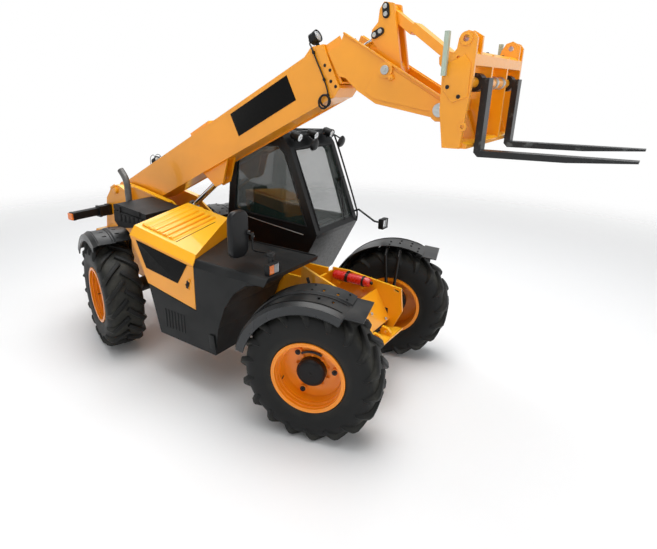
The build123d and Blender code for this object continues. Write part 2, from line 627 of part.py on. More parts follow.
# lamp: u along the boom, height of its centre over the boom's top, Y, radius
BOOM_LAMPS = [(BOOM_LENGTH - 100, 118, -70, 52), (600, 60, 0, 46)]
boom_lamps = Part()
for u, rise, y, radius in BOOM_LAMPS:
    shell = Cylinder(radius, 70) - Pos(0, 0, 30) * Cylinder(radius - 7, 20)
    shell = Pos(u, y, BOOM_TOP + rise) * Rot(0, 90, 0) * shell
    foot = block((u - 12, u + 12), (y - 14, y + 14), (BOOM_TOP - 4, BOOM_TOP + rise - radius + 6))
    boom_lamps = boom_lamps + shell + (foot - plate(outer_side, -200, 200))
parts["boom_lamps"] = BOOM_FRAME * boom_lamps

inner_low = cavity_low + SLIDE_GAP
inner_high = cavity_high - SLIDE_GAP
inner_half = cavity_half - SLIDE_GAP
head_inner = HEAD_HALF_WIDTH - HEAD_PLATE
head_outline = from_collar([
    (15, -19), (140, -32), (218, 34), (782, -810), (790, -930), (723, -965), (255, -605),
    (142, -434), (84, -292), (29, -248),
])
inner = block((INNER_REAR, BOOM_LENGTH + 160), (-inner_half, inner_half), (inner_low, inner_high))
tunnel = (-inner_half + 8, inner_half - 8)
inner = inner - block((INNER_REAR - 1, BOOM_LENGTH + 161), tunnel, (inner_low + 8, inner_high - 8))
inner = inner - block((BOOM_LENGTH + 20, BOOM_LENGTH + 300), tunnel, (-60, 100))
inner = inner - block((BOOM_LENGTH + 30, BOOM_LENGTH + 300), (-200, 200), (-400, -240))
belly = from_collar([
    (80, -300), (142, -434), (255, -605), (723, -965), (731, -953), (262, -590), (152, -428), (92, -298),
])
head = plate(belly, -head_inner, head_inner)
head = head + both_sides(plate(head_outline, -HEAD_HALF_WIDTH, -head_inner))
rib = from_collar([(212, 34), (224, 34), (788, -806), (776, -812)])
head = head + both_sides(plate(rib, -HEAD_HALF_WIDTH - 16, -HEAD_HALF_WIDTH))
step = from_collar([
    (353, -372), (206, -476), (255, -560), (700, -900), (756, -900), (762, -830), (480, -408),
])
head = head + both_sides(plate(step, -HEAD_HALF_WIDTH - 5, -HEAD_HALF_WIDTH))
head = head + both_sides(pin(LEVER_PIVOT[0], LEVER_PIVOT[1], 62, -HEAD_HALF_WIDTH - 22, -HEAD_HALF_WIDTH))
head = head + pin(LEVER_PIVOT[0], LEVER_PIVOT[1], 40, -HEAD_HALF_WIDTH, HEAD_HALF_WIDTH)
head = head - pin(NOSE_PIN[0], NOSE_PIN[1], 36 + RUNNING_GAP, -HEAD_HALF_WIDTH - 10, HEAD_HALF_WIDTH + 10)
inner = inner + head
inner = inner + pin(TILT_BASE[0], TILT_BASE[1], 22, -inner_half + 2, inner_half - 2)
parts["inner_boom"] = BOOM_FRAME * inner

# ---------------------------------------------------------------- tilt lever and link
CHEEK_IN = 52.0
CHEEK_OUT = 82.0
lever_outline = from_collar([
    (535, 55), (590, 85), (655, 35), (620, -110), (530, -440), (470, -500), (390, -480),
    (372, -400), (400, -190), (380, -120), (415, -50), (485, -25),
])
lever = both_sides(plate(lever_outline, -CHEEK_OUT, -CHEEK_IN, 12))
lever = lever + pin(LEVER_PIVOT[0], LEVER_PIVOT[1], 78, -CHEEK_OUT, CHEEK_OUT)
lever = lever - pin(LEVER_PIVOT[0], LEVER_PIVOT[1], 40 + RUNNING_GAP, -200, 200)
lever = lever + pin(LEVER_TOP[0], LEVER_TOP[1], 26, -CHEEK_OUT - 10, CHEEK_OUT + 10)
# keeper plate centre, and the turn of its long side
KEEPERS = [(LEVER_TOP, 70.0), (TILT_EYE, 0.0)]
for (u, v), turn in KEEPERS:
    keeper = extrude(Plane.XZ * SlotOverall(104, 48), amount=8)
    lever = lever + both_sides(Pos(u, -CHEEK_OUT, v) * Rot(0, -turn, 0) * keeper)
parts["tilt_lever"] = BOOM_FRAME * lever

link_length = math.dist(LEVER_TOP, LINK_EYE)
link = pin(0, 0, 50, -CHEEK_IN + 6, CHEEK_IN - 6) - pin(0, 0, 26 + RUNNING_GAP, -60, 60)
tongue = block((40, 270), (-CHEEK_IN + 6, CHEEK_IN - 6), (-30, 40))
beam = block((255, link_length - 60), (-76, 76), (-5, 60))
beam = beam - block((275, link_length - 80), (-66, 66), (-6, 48))
eye = pin(link_length, 0, 50, -70, 70) + block((link_length - 90, link_length - 20), (-70, 70), (-20, 44))
link = link + (tongue - pin(0, 0, 26 + RUNNING_GAP, -60, 60)) + beam + eye
link_turn = Location((LEVER_TOP[0], 0, LEVER_TOP[1]), (0, -angle_to(LEVER_TOP, LINK_EYE), 0))
parts["tilt_link"] = BOOM_FRAME * link_turn * link


# ---------------------------------------------------------------- hydraulic rams
def ram(length, retract, barrel_length, barrel_radius, rod_radius, eye_radius, half_width, base_pin):
    """Barrel and rod of a ram along X: base pin at the origin, eye at length, room to retract."""
    barrel = pin(0, 0, eye_radius, -half_width, half_width)
    barrel = barrel + rod((eye_radius * 0.5, 0, 0), (barrel_length, 0, 0), barrel_radius)
    barrel = barrel + rod((barrel_length - 40, 0, 0), (barrel_length + 12, 0, 0), barrel_radius + 7)
    barrel = barrel - rod((eye_radius + 20, 0, 0), (barrel_length + 20, 0, 0), rod_radius + 3)
    barrel = barrel - pin(0, 0, base_pin + RUNNING_GAP, -barrel_radius * 2, barrel_radius * 2)
    feed_y = barrel_radius + 8
    barrel = barrel + rod((eye_radius + 8, feed_y, 0), (barrel_length - 60, feed_y, 0), 9)
    stem = rod((eye_radius + 30 + retract, 0, 0), (length - eye_radius * 0.5, 0, 0), rod_radius)
    return barrel, stem + pin(length, 0, eye_radius, -half_width, half_width)


def ram_place(base, eye, y):
    """Place of a ram whose pins stand at two (x, z) points."""
    return Location((base[0], y, base[1]), (0, -angle_to(base, eye), 0))


lift_eye = boom_point(*LIFT_EYE)
lift_length = math.dist(LIFT_BASE, lift_eye)
lift_barrel = lift_length * LIFT_BARREL_SHARE
barrel, stem = ram(lift_length, LIFT_RETRACT, lift_barrel, 58.0, 32.0, 36.0, LIFT_HALF, 30.0)
lift_place = ram_place(LIFT_BASE, lift_eye, LIFT_Y)
parts["lift_cylinder"] = lift_place * barrel
parts["lift_rod"] = lift_place * stem

tilt_length = math.dist(TILT_BASE, TILT_EYE)
tilt_barrel = tilt_length * TILT_BARREL_SHARE
barrel, stem = ram(tilt_length, TILT_RETRACT, tilt_barrel, 46.0, 24.0, 42.0, 42.0, 22.0)
tilt_place = BOOM_FRAME * ram_place(TILT_BASE, TILT_EYE, 0)
parts["tilt_cylinder"] = tilt_place * barrel
parts["tilt_rod"] = tilt_place * stem

# ---------------------------------------------------------------- carriage and forks
nose = boom_point(*NOSE_PIN)
FORK_BACK = nose[0] + NOSE_TO_FORK
FORK_BOTTOM = nose[1] - NOSE_TO_BLADE
FORK_TOP = FORK_BOTTOM + FORK_HEIGHT


def from_heel(points):
    """Carriage points given back from the forks' rear faces and up from their undersides."""
    return [(FORK_BACK - back, FORK_BOTTOM + up) for back, up in points]


HITCH_IN = HEAD_HALF_WIDTH + MOVING_GAP + 16
HITCH_OUT = HITCH_IN + 30
hitch = [
    (nose[0] - 80, nose[1] - 20), (nose[0] - 62, nose[1] - 62), (nose[0] - 30, nose[1] - 84),
    (nose[0] + 40, nose[1] - 85),
]
hitch = hitch + from_heel([
    (160, 65), (10, 65), (10, 670), (100, 680), (240, 700), (370, 695), (402, 668), (396, 620),
    (350, 566), (275, 520), (248, 470), (262, 420), (300, 388), (340, 366),
])
side_shape = from_heel([
    (220, 610), (170, 645), (135, 695), (128, 755), (108, 784), (72, 800), (36, 788), (10, 755), (10, 530),
    (48, 65), (168, 65), (210, 310),
])
hook_shape = from_heel([(180, 620), (150, 740), (118, 790), (70, 806), (10, 770), (10, 600), (110, 560)])
CARRIAGE_IN = CARRIAGE_HALF_WIDTH - CARRIAGE_PLATE
PIN_CENTRE = from_heel([(80, 752)])[0]
LOCK_CENTRE = from_heel([(42, 210)])[0]
carriage = both_sides(plate(hitch, -HITCH_OUT, -HITCH_IN))
carriage = carriage + both_sides(plate(side_shape, -CARRIAGE_HALF_WIDTH, -CARRIAGE_IN))
carriage = carriage + both_sides(plate(hook_shape, -CARRIAGE_IN + 84, -CARRIAGE_IN + 110))
boss_out = -CARRIAGE_HALF_WIDTH - 8
carriage = carriage + both_sides(pin(PIN_CENTRE[0], PIN_CENTRE[1], 42, boss_out, -CARRIAGE_IN + 110))
carriage = carriage + both_sides(pin(LOCK_CENTRE[0], LOCK_CENTRE[1], 30, boss_out, -CARRIAGE_HALF_WIDTH))
for back, up in ((178, 530), (178, 590), (120, 640)):
    x, z = from_heel([(back, up)])[0]
    carriage = carriage - pin(x, z, 10, -CARRIAGE_HALF_WIDTH - 1, -CARRIAGE_IN + 1)
    carriage = carriage - pin(x, z, 10, CARRIAGE_IN - 1, CARRIAGE_HALF_WIDTH + 1)
top_beam = from_heel([(105, 592), (105, 676), (32, 680), (10, 660), (10, 592)])
carriage = carriage + plate(top_beam, -CARRIAGE_HALF_WIDTH, CARRIAGE_HALF_WIDTH)
low_beam = from_heel([(160, 65), (160, 105), (40, 105), (10, 90), (10, 65)])
carriage = carriage + plate(low_beam, -CARRIAGE_IN, CARRIAGE_IN)
shaft_x = FORK_BACK - 55
shaft_z = FORK_TOP - 30
carriage = carriage + pin(shaft_x, shaft_z, FORK_SHAFT_RADIUS, -CARRIAGE_IN, CARRIAGE_IN)
carriage = carriage + pin(nose[0], nose[1], 36, -HITCH_OUT, HITCH_OUT)
for y in (-CARRIAGE_IN, -HITCH_OUT - 60, HITCH_OUT + 36, CARRIAGE_IN - 24):
    web = from_heel([(160, 100), (60, 100), (60, 120), (150, 330), (170, 330)])
    carriage = carriage + plate(web, y, y + 24)
rail_z = (FORK_BOTTOM + 300, FORK_BOTTOM + 380)
carriage = carriage + block((FORK_BACK - 160, FORK_BACK - 132), (-CARRIAGE_IN, CARRIAGE_IN), rail_z)
drill_out = CARRIAGE_HALF_WIDTH + 60
carriage = carriage - pin(PIN_CENTRE[0], PIN_CENTRE[1], CARRIAGE_PIN_HOLE, -drill_out, drill_out)
lock_drill = pin(LOCK_CENTRE[0], LOCK_CENTRE[1], LOCK_HOLE, -drill_out, -CARRIAGE_IN + 40)
carriage = carriage - both_sides(lock_drill)
parts["carriage"] = carriage
bar_x = (FORK_BACK - 214, FORK_BACK - 184)
bar_z = (FORK_BOTTOM + 530, FORK_BOTTOM + 800)
parts["carriage_bars"] = both_sides(block(bar_x, (-CARRIAGE_HALF_WIDTH - 34, -CARRIAGE_HALF_WIDTH), bar_z))

fork_shape = [
    (FORK_BACK, FORK_TOP), (FORK_BACK, FORK_BOTTOM + 30), (FORK_BACK + 30, FORK_BOTTOM),
    (FORK_BACK + FORK_LENGTH * 0.6, FORK_BOTTOM + 6), (FORK_BACK + FORK_LENGTH, FORK_BOTTOM + 32),
    (FORK_BACK + FORK_LENGTH, FORK_BOTTOM + 44), (FORK_BACK + FORK_THICK, FORK_BOTTOM + FORK_THICK),
    (FORK_BACK + FORK_THICK, FORK_TOP),
]
tine = plate(fork_shape, -FORK_WIDTH / 2, FORK_WIDTH / 2)
eye_out = FORK_BACK - shaft_x + 6
tine = tine + pin(shaft_x, shaft_z, eye_out, -FORK_WIDTH / 2, FORK_WIDTH / 2)
tine = tine - pin(shaft_x, shaft_z, FORK_SHAFT_RADIUS + RUNNING_GAP, -FORK_WIDTH, FORK_WIDTH)
for name, side in (("fork_right", -1), ("fork_left", 1)):
    parts[name] = Pos(0, side * FORK_SPREAD, 0) * tine

# ---------------------------------------------------------------- cab
CAB_X = WHEELBASE - BODY_SETBACK
cab_side = [
    (860, 1000), (800, 1460), (905, 2395), (1010, 2450), (1600, 2470), (1720, 2330), (2080, 1440),
    (2060, 1390), (1760, 800), (1560, 600), (1010, 600),
]
cab = plate(cab_side, CAB_RIGHT, CAB_LEFT)
cab_void = [
    (905, 1010), (845, 1460), (945, 2365), (1020, 2405), (1585, 2425), (1680, 2310), (2033, 1440),
    (2018, 1400), (1725, 820), (1540, 645), (1035, 645),
]
cab = cab - plate(cab_void, CAB_RIGHT + CAB_WALL, CAB_LEFT - CAB_WALL)
right_window = [(905, 1560), (985, 2330), (1570, 2350), (1660, 2270), (1960, 1510)]
door_hole = [
    (960, 1010), (960, 2330), (1550, 2350), (1650, 2270), (1950, 1450), (1690, 830), (1530, 680), (1090, 680),
]
right_wall = (CAB_RIGHT - 1, CAB_RIGHT + CAB_WALL + 1)
left_wall = (CAB_LEFT - CAB_WALL - 1, CAB_LEFT + 1)
cab = cab - plate(right_window, *right_wall, 14) - plate(door_hole, *left_wall)
pane_y = (CAB_RIGHT + CAB_WALL + 30, CAB_LEFT - CAB_WALL - 30)
screen_cut = [(1760, 2300), (1640, 2280), (1935, 1500), (2120, 1500)]
roof_cut = [(1120, 2300), (1120, 2600), (1540, 2600), (1540, 2300)]
rear_cut = [(700, 1540), (700, 2320), (980, 2320), (900, 1540)]
for cut in (screen_cut, roof_cut, rear_cut):
    cab = cab - plate(cut, *pane_y)
for index in range(3):
    x = 1210 + index * 110
    cab = cab + block((x, x + 26), (pane_y[0] - 1, pane_y[1] + 1), (2438, 2452))
parts["cab_frame"] = Pos(CAB_X, 0, 0) * cab

glass = plate(right_window, CAB_RIGHT + 16, CAB_RIGHT + 16 + GLASS, 14)
for cut in (screen_cut, rear_cut):
    skin = plate(cab_side, *pane_y) & plate(cut, *pane_y)
    inside = [(x - 8 if x > 1500 else x + 8, z - 8 if z > 2000 else z) for x, z in cab_side]
    glass = glass + (skin - plate(inside, pane_y[0] - 1, pane_y[1] + 1))
glass = glass + block((1120, 1540), pane_y, (2422, 2422 + GLASS))
parts["cab_glass"] = Pos(CAB_X, 0, 0) * glass

door_shape = [
    (960 + DOOR_GAP, 1010), (960 + DOOR_GAP, 2330 - DOOR_GAP), (1547, 2350 - DOOR_GAP), (1645, 2266),
    (1943, 1450), (1685, 834), (1527, 680 + DOOR_GAP), (1093, 680 + DOOR_GAP),
]
door_window = [(1010, 1480), (1010, 2280), (1530, 2300), (1615, 2240), (1890, 1480)]
door = plate(door_shape, CAB_LEFT - CAB_WALL + 4, CAB_LEFT) - plate(door_window, *left_wall, 14)
door = door + block((1700, 1820), (CAB_LEFT, CAB_LEFT + 34), (1400, 1424))
for z in (1060, 1330, 2200):
    door = door + Pos(960 + DOOR_GAP, CAB_LEFT + HINGE_RADIUS, z) * Cylinder(HINGE_RADIUS, 80)
parts["door_frame"] = Pos(CAB_X, 0, 0) * door
parts["door_glass"] = Pos(CAB_X, 0, 0) * plate(door_window, CAB_LEFT - 24, CAB_LEFT - 24 + GLASS, 14)

cushion = block((1030, 1440), (430, 870), (1130, 1250))
backrest = plate([(1000, 1240), (960, 1820), (1030, 1840), (1110, 1250)], 440, 860)
parts["seat"] = Pos(CAB_X, 0, 0) * (cushion + backrest)
pedestal = plate([(1060, 645), (1080, 1130), (1390, 1130), (1370, 645)], 480, 820)
for y in (300, 900):
    console = [(1080, 645), (1060, 1260), (1330, 1290), (1400, 1230), (1390, 645)]
    pedestal = pedestal + plate(console, y, y + 100)
pedestal = pedestal + block((1090, 1370), (300, 1000), (645, 665))
parts["seat_base"] = Pos(CAB_X, 0, 0) * pedestal
steering_wheel = Cylinder(190, 22) - Cylinder(166, 24) + Box(345, 30, 12) + Box(30, 345, 12)
steering_wheel = steering_wheel + Pos(0, 0, -270) * Cylinder(36, 560)
dash = [(1500, 700), (1590, 860), (1700, 1180), (1800, 1380), (1930, 1380), (1700, 880), (1560, 700)]
parts["dash_column"] = Pos(CAB_X, 0, 0) * (
    Pos(1545, 650, 1450) * Rot(0, -15, 0) * steering_wheel + plate(dash, 300, 1000))
parts["side_tank"] = Pos(CAB_X, 0, 0) * (
    block((1020, 1560), (240, 1060), (FRAME_BOTTOM, 596)) + block((1180, 1440), (1060, 1110), (430, 454)))

# ---------------------------------------------------------------- lamps and mirrors
light_bar = block((REAR_X + 60, REAR_X + 150), (-830, -UPRIGHT_OUT), (1370, 1460))
light_bar = light_bar + block((REAR_X + 90, REAR_X + 170), (-470, -UPRIGHT_OUT), (1350, 1480))
front_cluster = block((2330, 2372), (-975, -835), (COWL_TOP + 2, COWL_TOP + 92))
front_cluster = front_cluster + block((2300, 2340), (-930, -880), (COWL_TOP, COWL_TOP + 40))
arm_y = CAB_LEFT + 12
arm_route = [(2020, 1380), (2020, 1530), (2090, 1560), (2300, 1450), (2400, 1440)]
far_arm = bent_tube([(x, arm_y, z) for x, z in arm_route], 11)
far_lamp = block((2390, 2440), (CAB_LEFT - 60, CAB_LEFT + 50), (1395, 1495))
roof_lamps = Part()
roof_mirrors = Part()
# lamp on the roof's front edge: Y and radius
for y, radius in ((330, 46), (640, 46), (960, 46)):
    roof_lamps = roof_lamps + rod((ROOF_FRONT + 40, y, 2455), (ROOF_FRONT + 130, y, 2430), radius)
roof_rail = rod((ROOF_FRONT + 60, 300, 2440), (ROOF_FRONT + 60, 1010, 2440), 12)
lamps = light_bar + mirror(light_bar, about=Plane.XZ)
parts["lamps"] = lamps + Pos(POD_X, 0, 0) * (front_cluster + far_arm + far_lamp + roof_lamps + roof_rail)
LENS = 10.0
clear = block((2372, 2372 + LENS), (-905, -840), (COWL_TOP + 8, COWL_TOP + 86))
clear = clear + block((2440, 2440 + LENS), (CAB_LEFT - 55, CAB_LEFT + 45), (1400, 1490))
parts["lens_clear"] = Pos(POD_X, 0, 0) * clear
amber = Pos(POD_X, 0, 0) * block((2372, 2372 + LENS), (-970, -908), (COWL_TOP + 8, COWL_TOP + 86))
tail_tip = block((REAR_X + 60, REAR_X + 150), (-830 - LENS * 2, -830), (1375, 1455))
parts["lens_amber"] = amber + both_sides(tail_tip)

shell_side = [(1960, 1480), (1944, 1700), (1960, 1920), (2012, 1920), (2024, 1700), (2012, 1480)]
housing = plate(shell_side, -1040, -800, 12)
housing = housing - block((1950, 1966), (-1020, -820), (1510, 1890))
mirror_arm = bent_tube([(2010, -820, 1700), (2050, -800, 1690), (2050, -800, 1530), (2290, -850, 1560)], 9)
mirror_foot = block((2280, 2330), (-870, -832), (COWL_TOP, 1600))
for y, x in ((560, 1800), (1040, 1850)):
    roof_mirrors = roof_mirrors + rod((x, y, 2340), (x + 30, y, 2330), 70)
    roof_mirrors = roof_mirrors + rod((x + 6, y, 2350), (ROOF_FRONT + 82, y, 2424), 9)
parts["mirrors"] = Pos(POD_X, 0, 0) * (housing + mirror_arm + mirror_foot + roof_mirrors)

# ---------------------------------------------------------------- hinge lines for door and bonnet
DOOR_HINGE = (CAB_X + 960 + DOOR_GAP, CAB_LEFT + HINGE_RADIUS, 1600.0)
BONNET_HINGE = (POD_X + 700, POD_INNER + BONNET_HINGE_RADIUS, BONNET_HINGE_Z)
BONNET_AXIS = [-1.0, 0.0, 0.0]

# ---------------------------------------------------------------- export
X_CENTRE = (FORK_BACK + FORK_LENGTH + REAR_X - 70) / 2
for name, shape in parts.items():
    export_step(Pos(-X_CENTRE, 0, 0) * shape, "parts/" + name + ".step")
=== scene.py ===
import json
import math
import bpy
from mathutils import Matrix, Vector


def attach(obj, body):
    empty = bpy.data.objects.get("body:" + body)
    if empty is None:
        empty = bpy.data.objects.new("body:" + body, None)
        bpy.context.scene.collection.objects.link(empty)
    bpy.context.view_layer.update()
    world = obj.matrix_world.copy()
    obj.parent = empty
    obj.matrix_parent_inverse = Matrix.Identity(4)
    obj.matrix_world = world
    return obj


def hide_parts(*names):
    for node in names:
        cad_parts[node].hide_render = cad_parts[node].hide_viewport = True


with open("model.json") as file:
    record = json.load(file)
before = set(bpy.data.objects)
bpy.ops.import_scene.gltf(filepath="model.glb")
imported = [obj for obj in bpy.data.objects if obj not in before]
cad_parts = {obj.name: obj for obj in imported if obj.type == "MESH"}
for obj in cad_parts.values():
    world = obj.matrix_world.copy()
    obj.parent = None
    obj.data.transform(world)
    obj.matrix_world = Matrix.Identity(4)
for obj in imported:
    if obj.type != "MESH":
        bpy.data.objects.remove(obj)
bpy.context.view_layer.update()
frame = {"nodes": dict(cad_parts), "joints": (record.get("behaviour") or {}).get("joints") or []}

bl_info = {
    "name": "Telehandler dressing",
    "version": (1, 0, 0),
    "blender": (4, 5, 0),
    "location": "View3D > Sidebar > Telehandler",
    "description": "Finishes, fittings and stage for a four-wheel-steer telehandler with pallet forks",
    "category": "Object",
}

# Lengths are in metres. X is counted forwards from the rear axle, Y to the left, Z up from the ground.
JOINTS = {joint["name"]: joint for joint in frame["joints"]}
MACHINE = Matrix.Translation((JOINTS["steer_rear_right"]["pos_m"][0], 0, 0))
BOOM_ANGLE = math.asin(JOINTS["boom_extend"]["axis"][2])
BOOM = Matrix.Translation(JOINTS["boom_lift"]["pos_m"]) @ Matrix.Rotation(-BOOM_ANGLE, 4, "Y")
NOSE = Matrix.Translation(JOINTS["carriage_tilt"]["pos_m"])
CORNERS = ("front_right", "front_left", "rear_right", "rear_left")
FULL_TURN = 2 * math.pi
TYRE_RADIUS = 0.628
TYRE_HALF = 0.21  # half of the tyre's width
BOOM_HALF = 0.155  # half of the outer boom's width
POD_SIDE = -1.085  # Y of the engine pod's outer wall


# ---------------------------------------------------------------- modelling helpers
def nothing_selected():
    bpy.ops.object.select_all(action="DESELECT")


def only(piece):
    """Select one piece alone and make it active."""
    nothing_selected()
    piece.select_set(True)
    bpy.context.view_layer.objects.active = piece
    return piece


def settle(piece, place=Matrix.Identity(4)):
    """Put a piece at its place and leave its object at the origin, unturned and unscaled."""
    only(piece)
    piece.matrix_world = place @ piece.matrix_world
    bpy.ops.object.transform_apply(location=True, rotation=True, scale=True)
    if place.determinant() < 0:
        normals_out(piece)
    return piece


def normals_out(piece):
    """Merge a piece's doubled points and turn its faces outwards."""
    only(piece)
    bpy.ops.object.mode_set(mode="EDIT")
    bpy.ops.mesh.select_all(action="SELECT")
    bpy.ops.mesh.remove_doubles(threshold=1e-5)
    bpy.ops.mesh.normals_make_consistent(inside=False)
    bpy.ops.object.mode_set(mode="OBJECT")
    return piece


def modified(piece, kind, **settings):
    """Add a modifier with its settings and apply it."""
    only(piece)
    modifier = piece.modifiers.new(kind.title(), kind)
    for setting, value in settings.items():
        setattr(modifier, setting, value)
    bpy.ops.object.modifier_apply(modifier=modifier.name)
    return piece


def round_edges(piece, width, segments=2, angle=30):
    """Round a piece's edges that are sharper than an angle."""
    if width:
        modified(piece, "BEVEL", width=width, segments=segments, limit_method="ANGLE",
                 angle_limit=math.radians(angle), harden_normals=False)
    return piece


def join(pieces):
    """Join pieces into the first of them."""
    nothing_selected()
    for piece in pieces:
        piece.select_set(True)
    bpy.context.view_layer.objects.active = pieces[0]
    if len(pieces) > 1:
        bpy.ops.object.join()
    return pieces[0]


def block(low, high, width=0.0, segments=2):
    """Block between two corners, with rounded edges."""
    nothing_selected()
    centre = (Vector(low) + Vector(high)) / 2
    bpy.ops.mesh.primitive_cube_add(size=1, location=centre, scale=Vector(high) - Vector(low))
    return round_edges(settle(bpy.context.object), width, segments)


def rod(start, end, radius, sides=24, width=0.0, tip=None):
    """Round bar between two points, with chamfered ends and, if asked, a tip of another radius."""
    nothing_selected()
    run = Vector(end) - Vector(start)
    bpy.ops.mesh.primitive_cone_add(vertices=sides, radius1=radius, radius2=radius if tip is None else tip,
                                    depth=run.length, location=(Vector(start) + Vector(end)) / 2,
                                    rotation=run.to_track_quat("Z", "Y").to_euler())
    return round_edges(settle(bpy.context.object), width, 2, 40)


def walk(points):
    """One point extruded from place to place into a chain, left selected in edit mode."""
    nothing_selected()
    bpy.ops.mesh.primitive_plane_add(size=0.01, location=points[0])
    bpy.ops.object.mode_set(mode="EDIT")
    bpy.ops.mesh.select_all(action="SELECT")
    bpy.ops.mesh.merge(type="CENTER")
    for here, ahead in zip(points, points[1:]):
        bpy.ops.mesh.extrude_region_move(TRANSFORM_OT_translate={"value": Vector(ahead) - Vector(here)})
    bpy.ops.mesh.select_all(action="SELECT")
    return bpy.context.object


def slab(points, thickness, width=0.0, segments=2):
    """Flat outline of points extruded along a thickness vector, with rounded edges."""
    piece = walk(points)
    bpy.ops.mesh.edge_face_add()
    bpy.ops.mesh.extrude_region_move(TRANSFORM_OT_translate={"value": thickness})
    bpy.ops.object.mode_set(mode="OBJECT")
    return round_edges(settle(normals_out(piece)), width, segments)


def at_y(y, points):
    """The (x, z) points of an outline, standing at one Y."""
    return [(x, y, z) for x, z in points]


def side_plate(points, y_low, y_high, width=0.0, segments=2):
    """Slab with an outline of (x, z) points, standing between two Y values."""
    return slab(at_y(y_low, points), (0, y_high - y_low, 0), width, segments)


def turned(profile, steps=48):
    """Shape spun about the Y axis from (radius, y) points."""
    piece = walk([(radius, y, 0) for radius, y in profile])
    bpy.ops.mesh.spin(steps=steps, angle=FULL_TURN, center=(0, 0, 0), axis=(0, 1, 0))
    bpy.ops.object.mode_set(mode="OBJECT")
    return settle(normals_out(piece))


def pipe(points, radius, smooth=True, resolution=3):
    """Round pipe along a line of points, capped at its ends."""
    line = bpy.data.curves.new("pipe", "CURVE")
    line.dimensions = "3D"
    line.bevel_depth = radius
    line.bevel_resolution = resolution
    line.use_fill_caps = True
    spline = line.splines.new("NURBS" if smooth else "POLY")
    spline.points.add(len(points) - 1)
    for knot, point in zip(spline.points, points):
        knot.co = (*point, 1)
    spline.order_u = 3
    spline.use_endpoint_u = True
    spline.resolution_u = 8
    piece = bpy.data.objects.new("pipe", line)
    bpy.context.scene.collection.objects.link(piece)
    only(piece)
    bpy.ops.object.convert(target="MESH")
    return normals_out(bpy.context.object)


def twin(piece):
    """Copy of a piece with a mesh of its own."""
    copy = piece.copy()
    copy.data = piece.data.copy()
    bpy.context.scene.collection.objects.link(copy)
    return copy


def copies(pattern, places):
    """Copies of a pattern at each place, joined; the pattern itself goes."""
    made = [settle(twin(pattern), place) for place in places]
    bpy.data.objects.remove(pattern)
    return join(made)


def facing(point, direction):
    """Place whose Z axis stands on a point along a direction."""
    return Matrix.Translation(point) @ Vector(direction).to_track_quat("Z", "Y").to_matrix().to_4x4()


def bolt(radius):
    """Hexagon bolt head on its washer, standing on the XY plane."""
    washer = rod((0, 0, -0.002), (0, 0, radius * 0.25), radius * 1.35, 20, radius * 0.08)
    head = rod((0, 0, radius * 0.25), (0, 0, radius * 0.95), radius, 6, radius * 0.12)
    return join([washer, head])


def mirrored(piece):
    """A piece joined with its mirror image across the machine's middle."""
    return join([piece, settle(twin(piece), Matrix.Scale(-1, 4, (0, 1, 0)))])


def fit(piece, name, body, slot, place=MACHINE, finish=None, replaces=(), smooth=35):
    """Set a made piece down, name it, give it its slot's finish or another, and let it ride on its body."""
    settle(piece, place)
    piece.name = name
    piece.data.name = name
    piece.data.materials.clear()
    piece.data.materials.append(FINISHES[finish or slot])
    only(piece)
    bpy.ops.object.shade_smooth_by_angle(angle=math.radians(smooth))
    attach(piece, body)
    if replaces:
        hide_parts(*replaces)
    return piece


def wheel_place(corner):
    """Place of a wheel's centre, with Y along its axle towards the machine on the right-hand side."""
    spin = JOINTS["spin_" + corner]
    ahead = Vector(spin["axis"]).cross(Vector((0, 0, 1)))
    turn = Matrix((ahead, Vector(spin["axis"]), (0, 0, 1))).transposed().to_4x4()
    side = 1 if spin["pos_m"][1] < 0 else -1
    return Matrix.Translation(spin["pos_m"]) @ turn @ Matrix.Scale(side, 4, (0, 1, 0))


# ---------------------------------------------------------------- shader helpers
class Wire:
    """An output socket whose arithmetic adds Math nodes."""

    def __init__(self, finish, socket):
        self.finish = finish
        self.socket = socket

    def maths(self, operation, *others):
        return self.finish.node("ShaderNodeMath", {"operation": operation}, dict(enumerate((self, *others))))

    def __add__(self, other):
        return self.maths("ADD", other)

    def __sub__(self, other):
        return self.maths("SUBTRACT", other)

    def __rsub__(self, other):
        return self.finish.node("ShaderNodeMath", {"operation": "SUBTRACT"}, {0: other, 1: self})

    def __mul__(self, other):
        return self.maths("MULTIPLY", other)

    def between(self, low, high):
        """0 below low, 1 above high and smooth in between."""
        return self.finish.node(
            "ShaderNodeMapRange", {"interpolation_type": "SMOOTHSTEP"},
            {"Value": self, "From Min": low, "From Max": high})


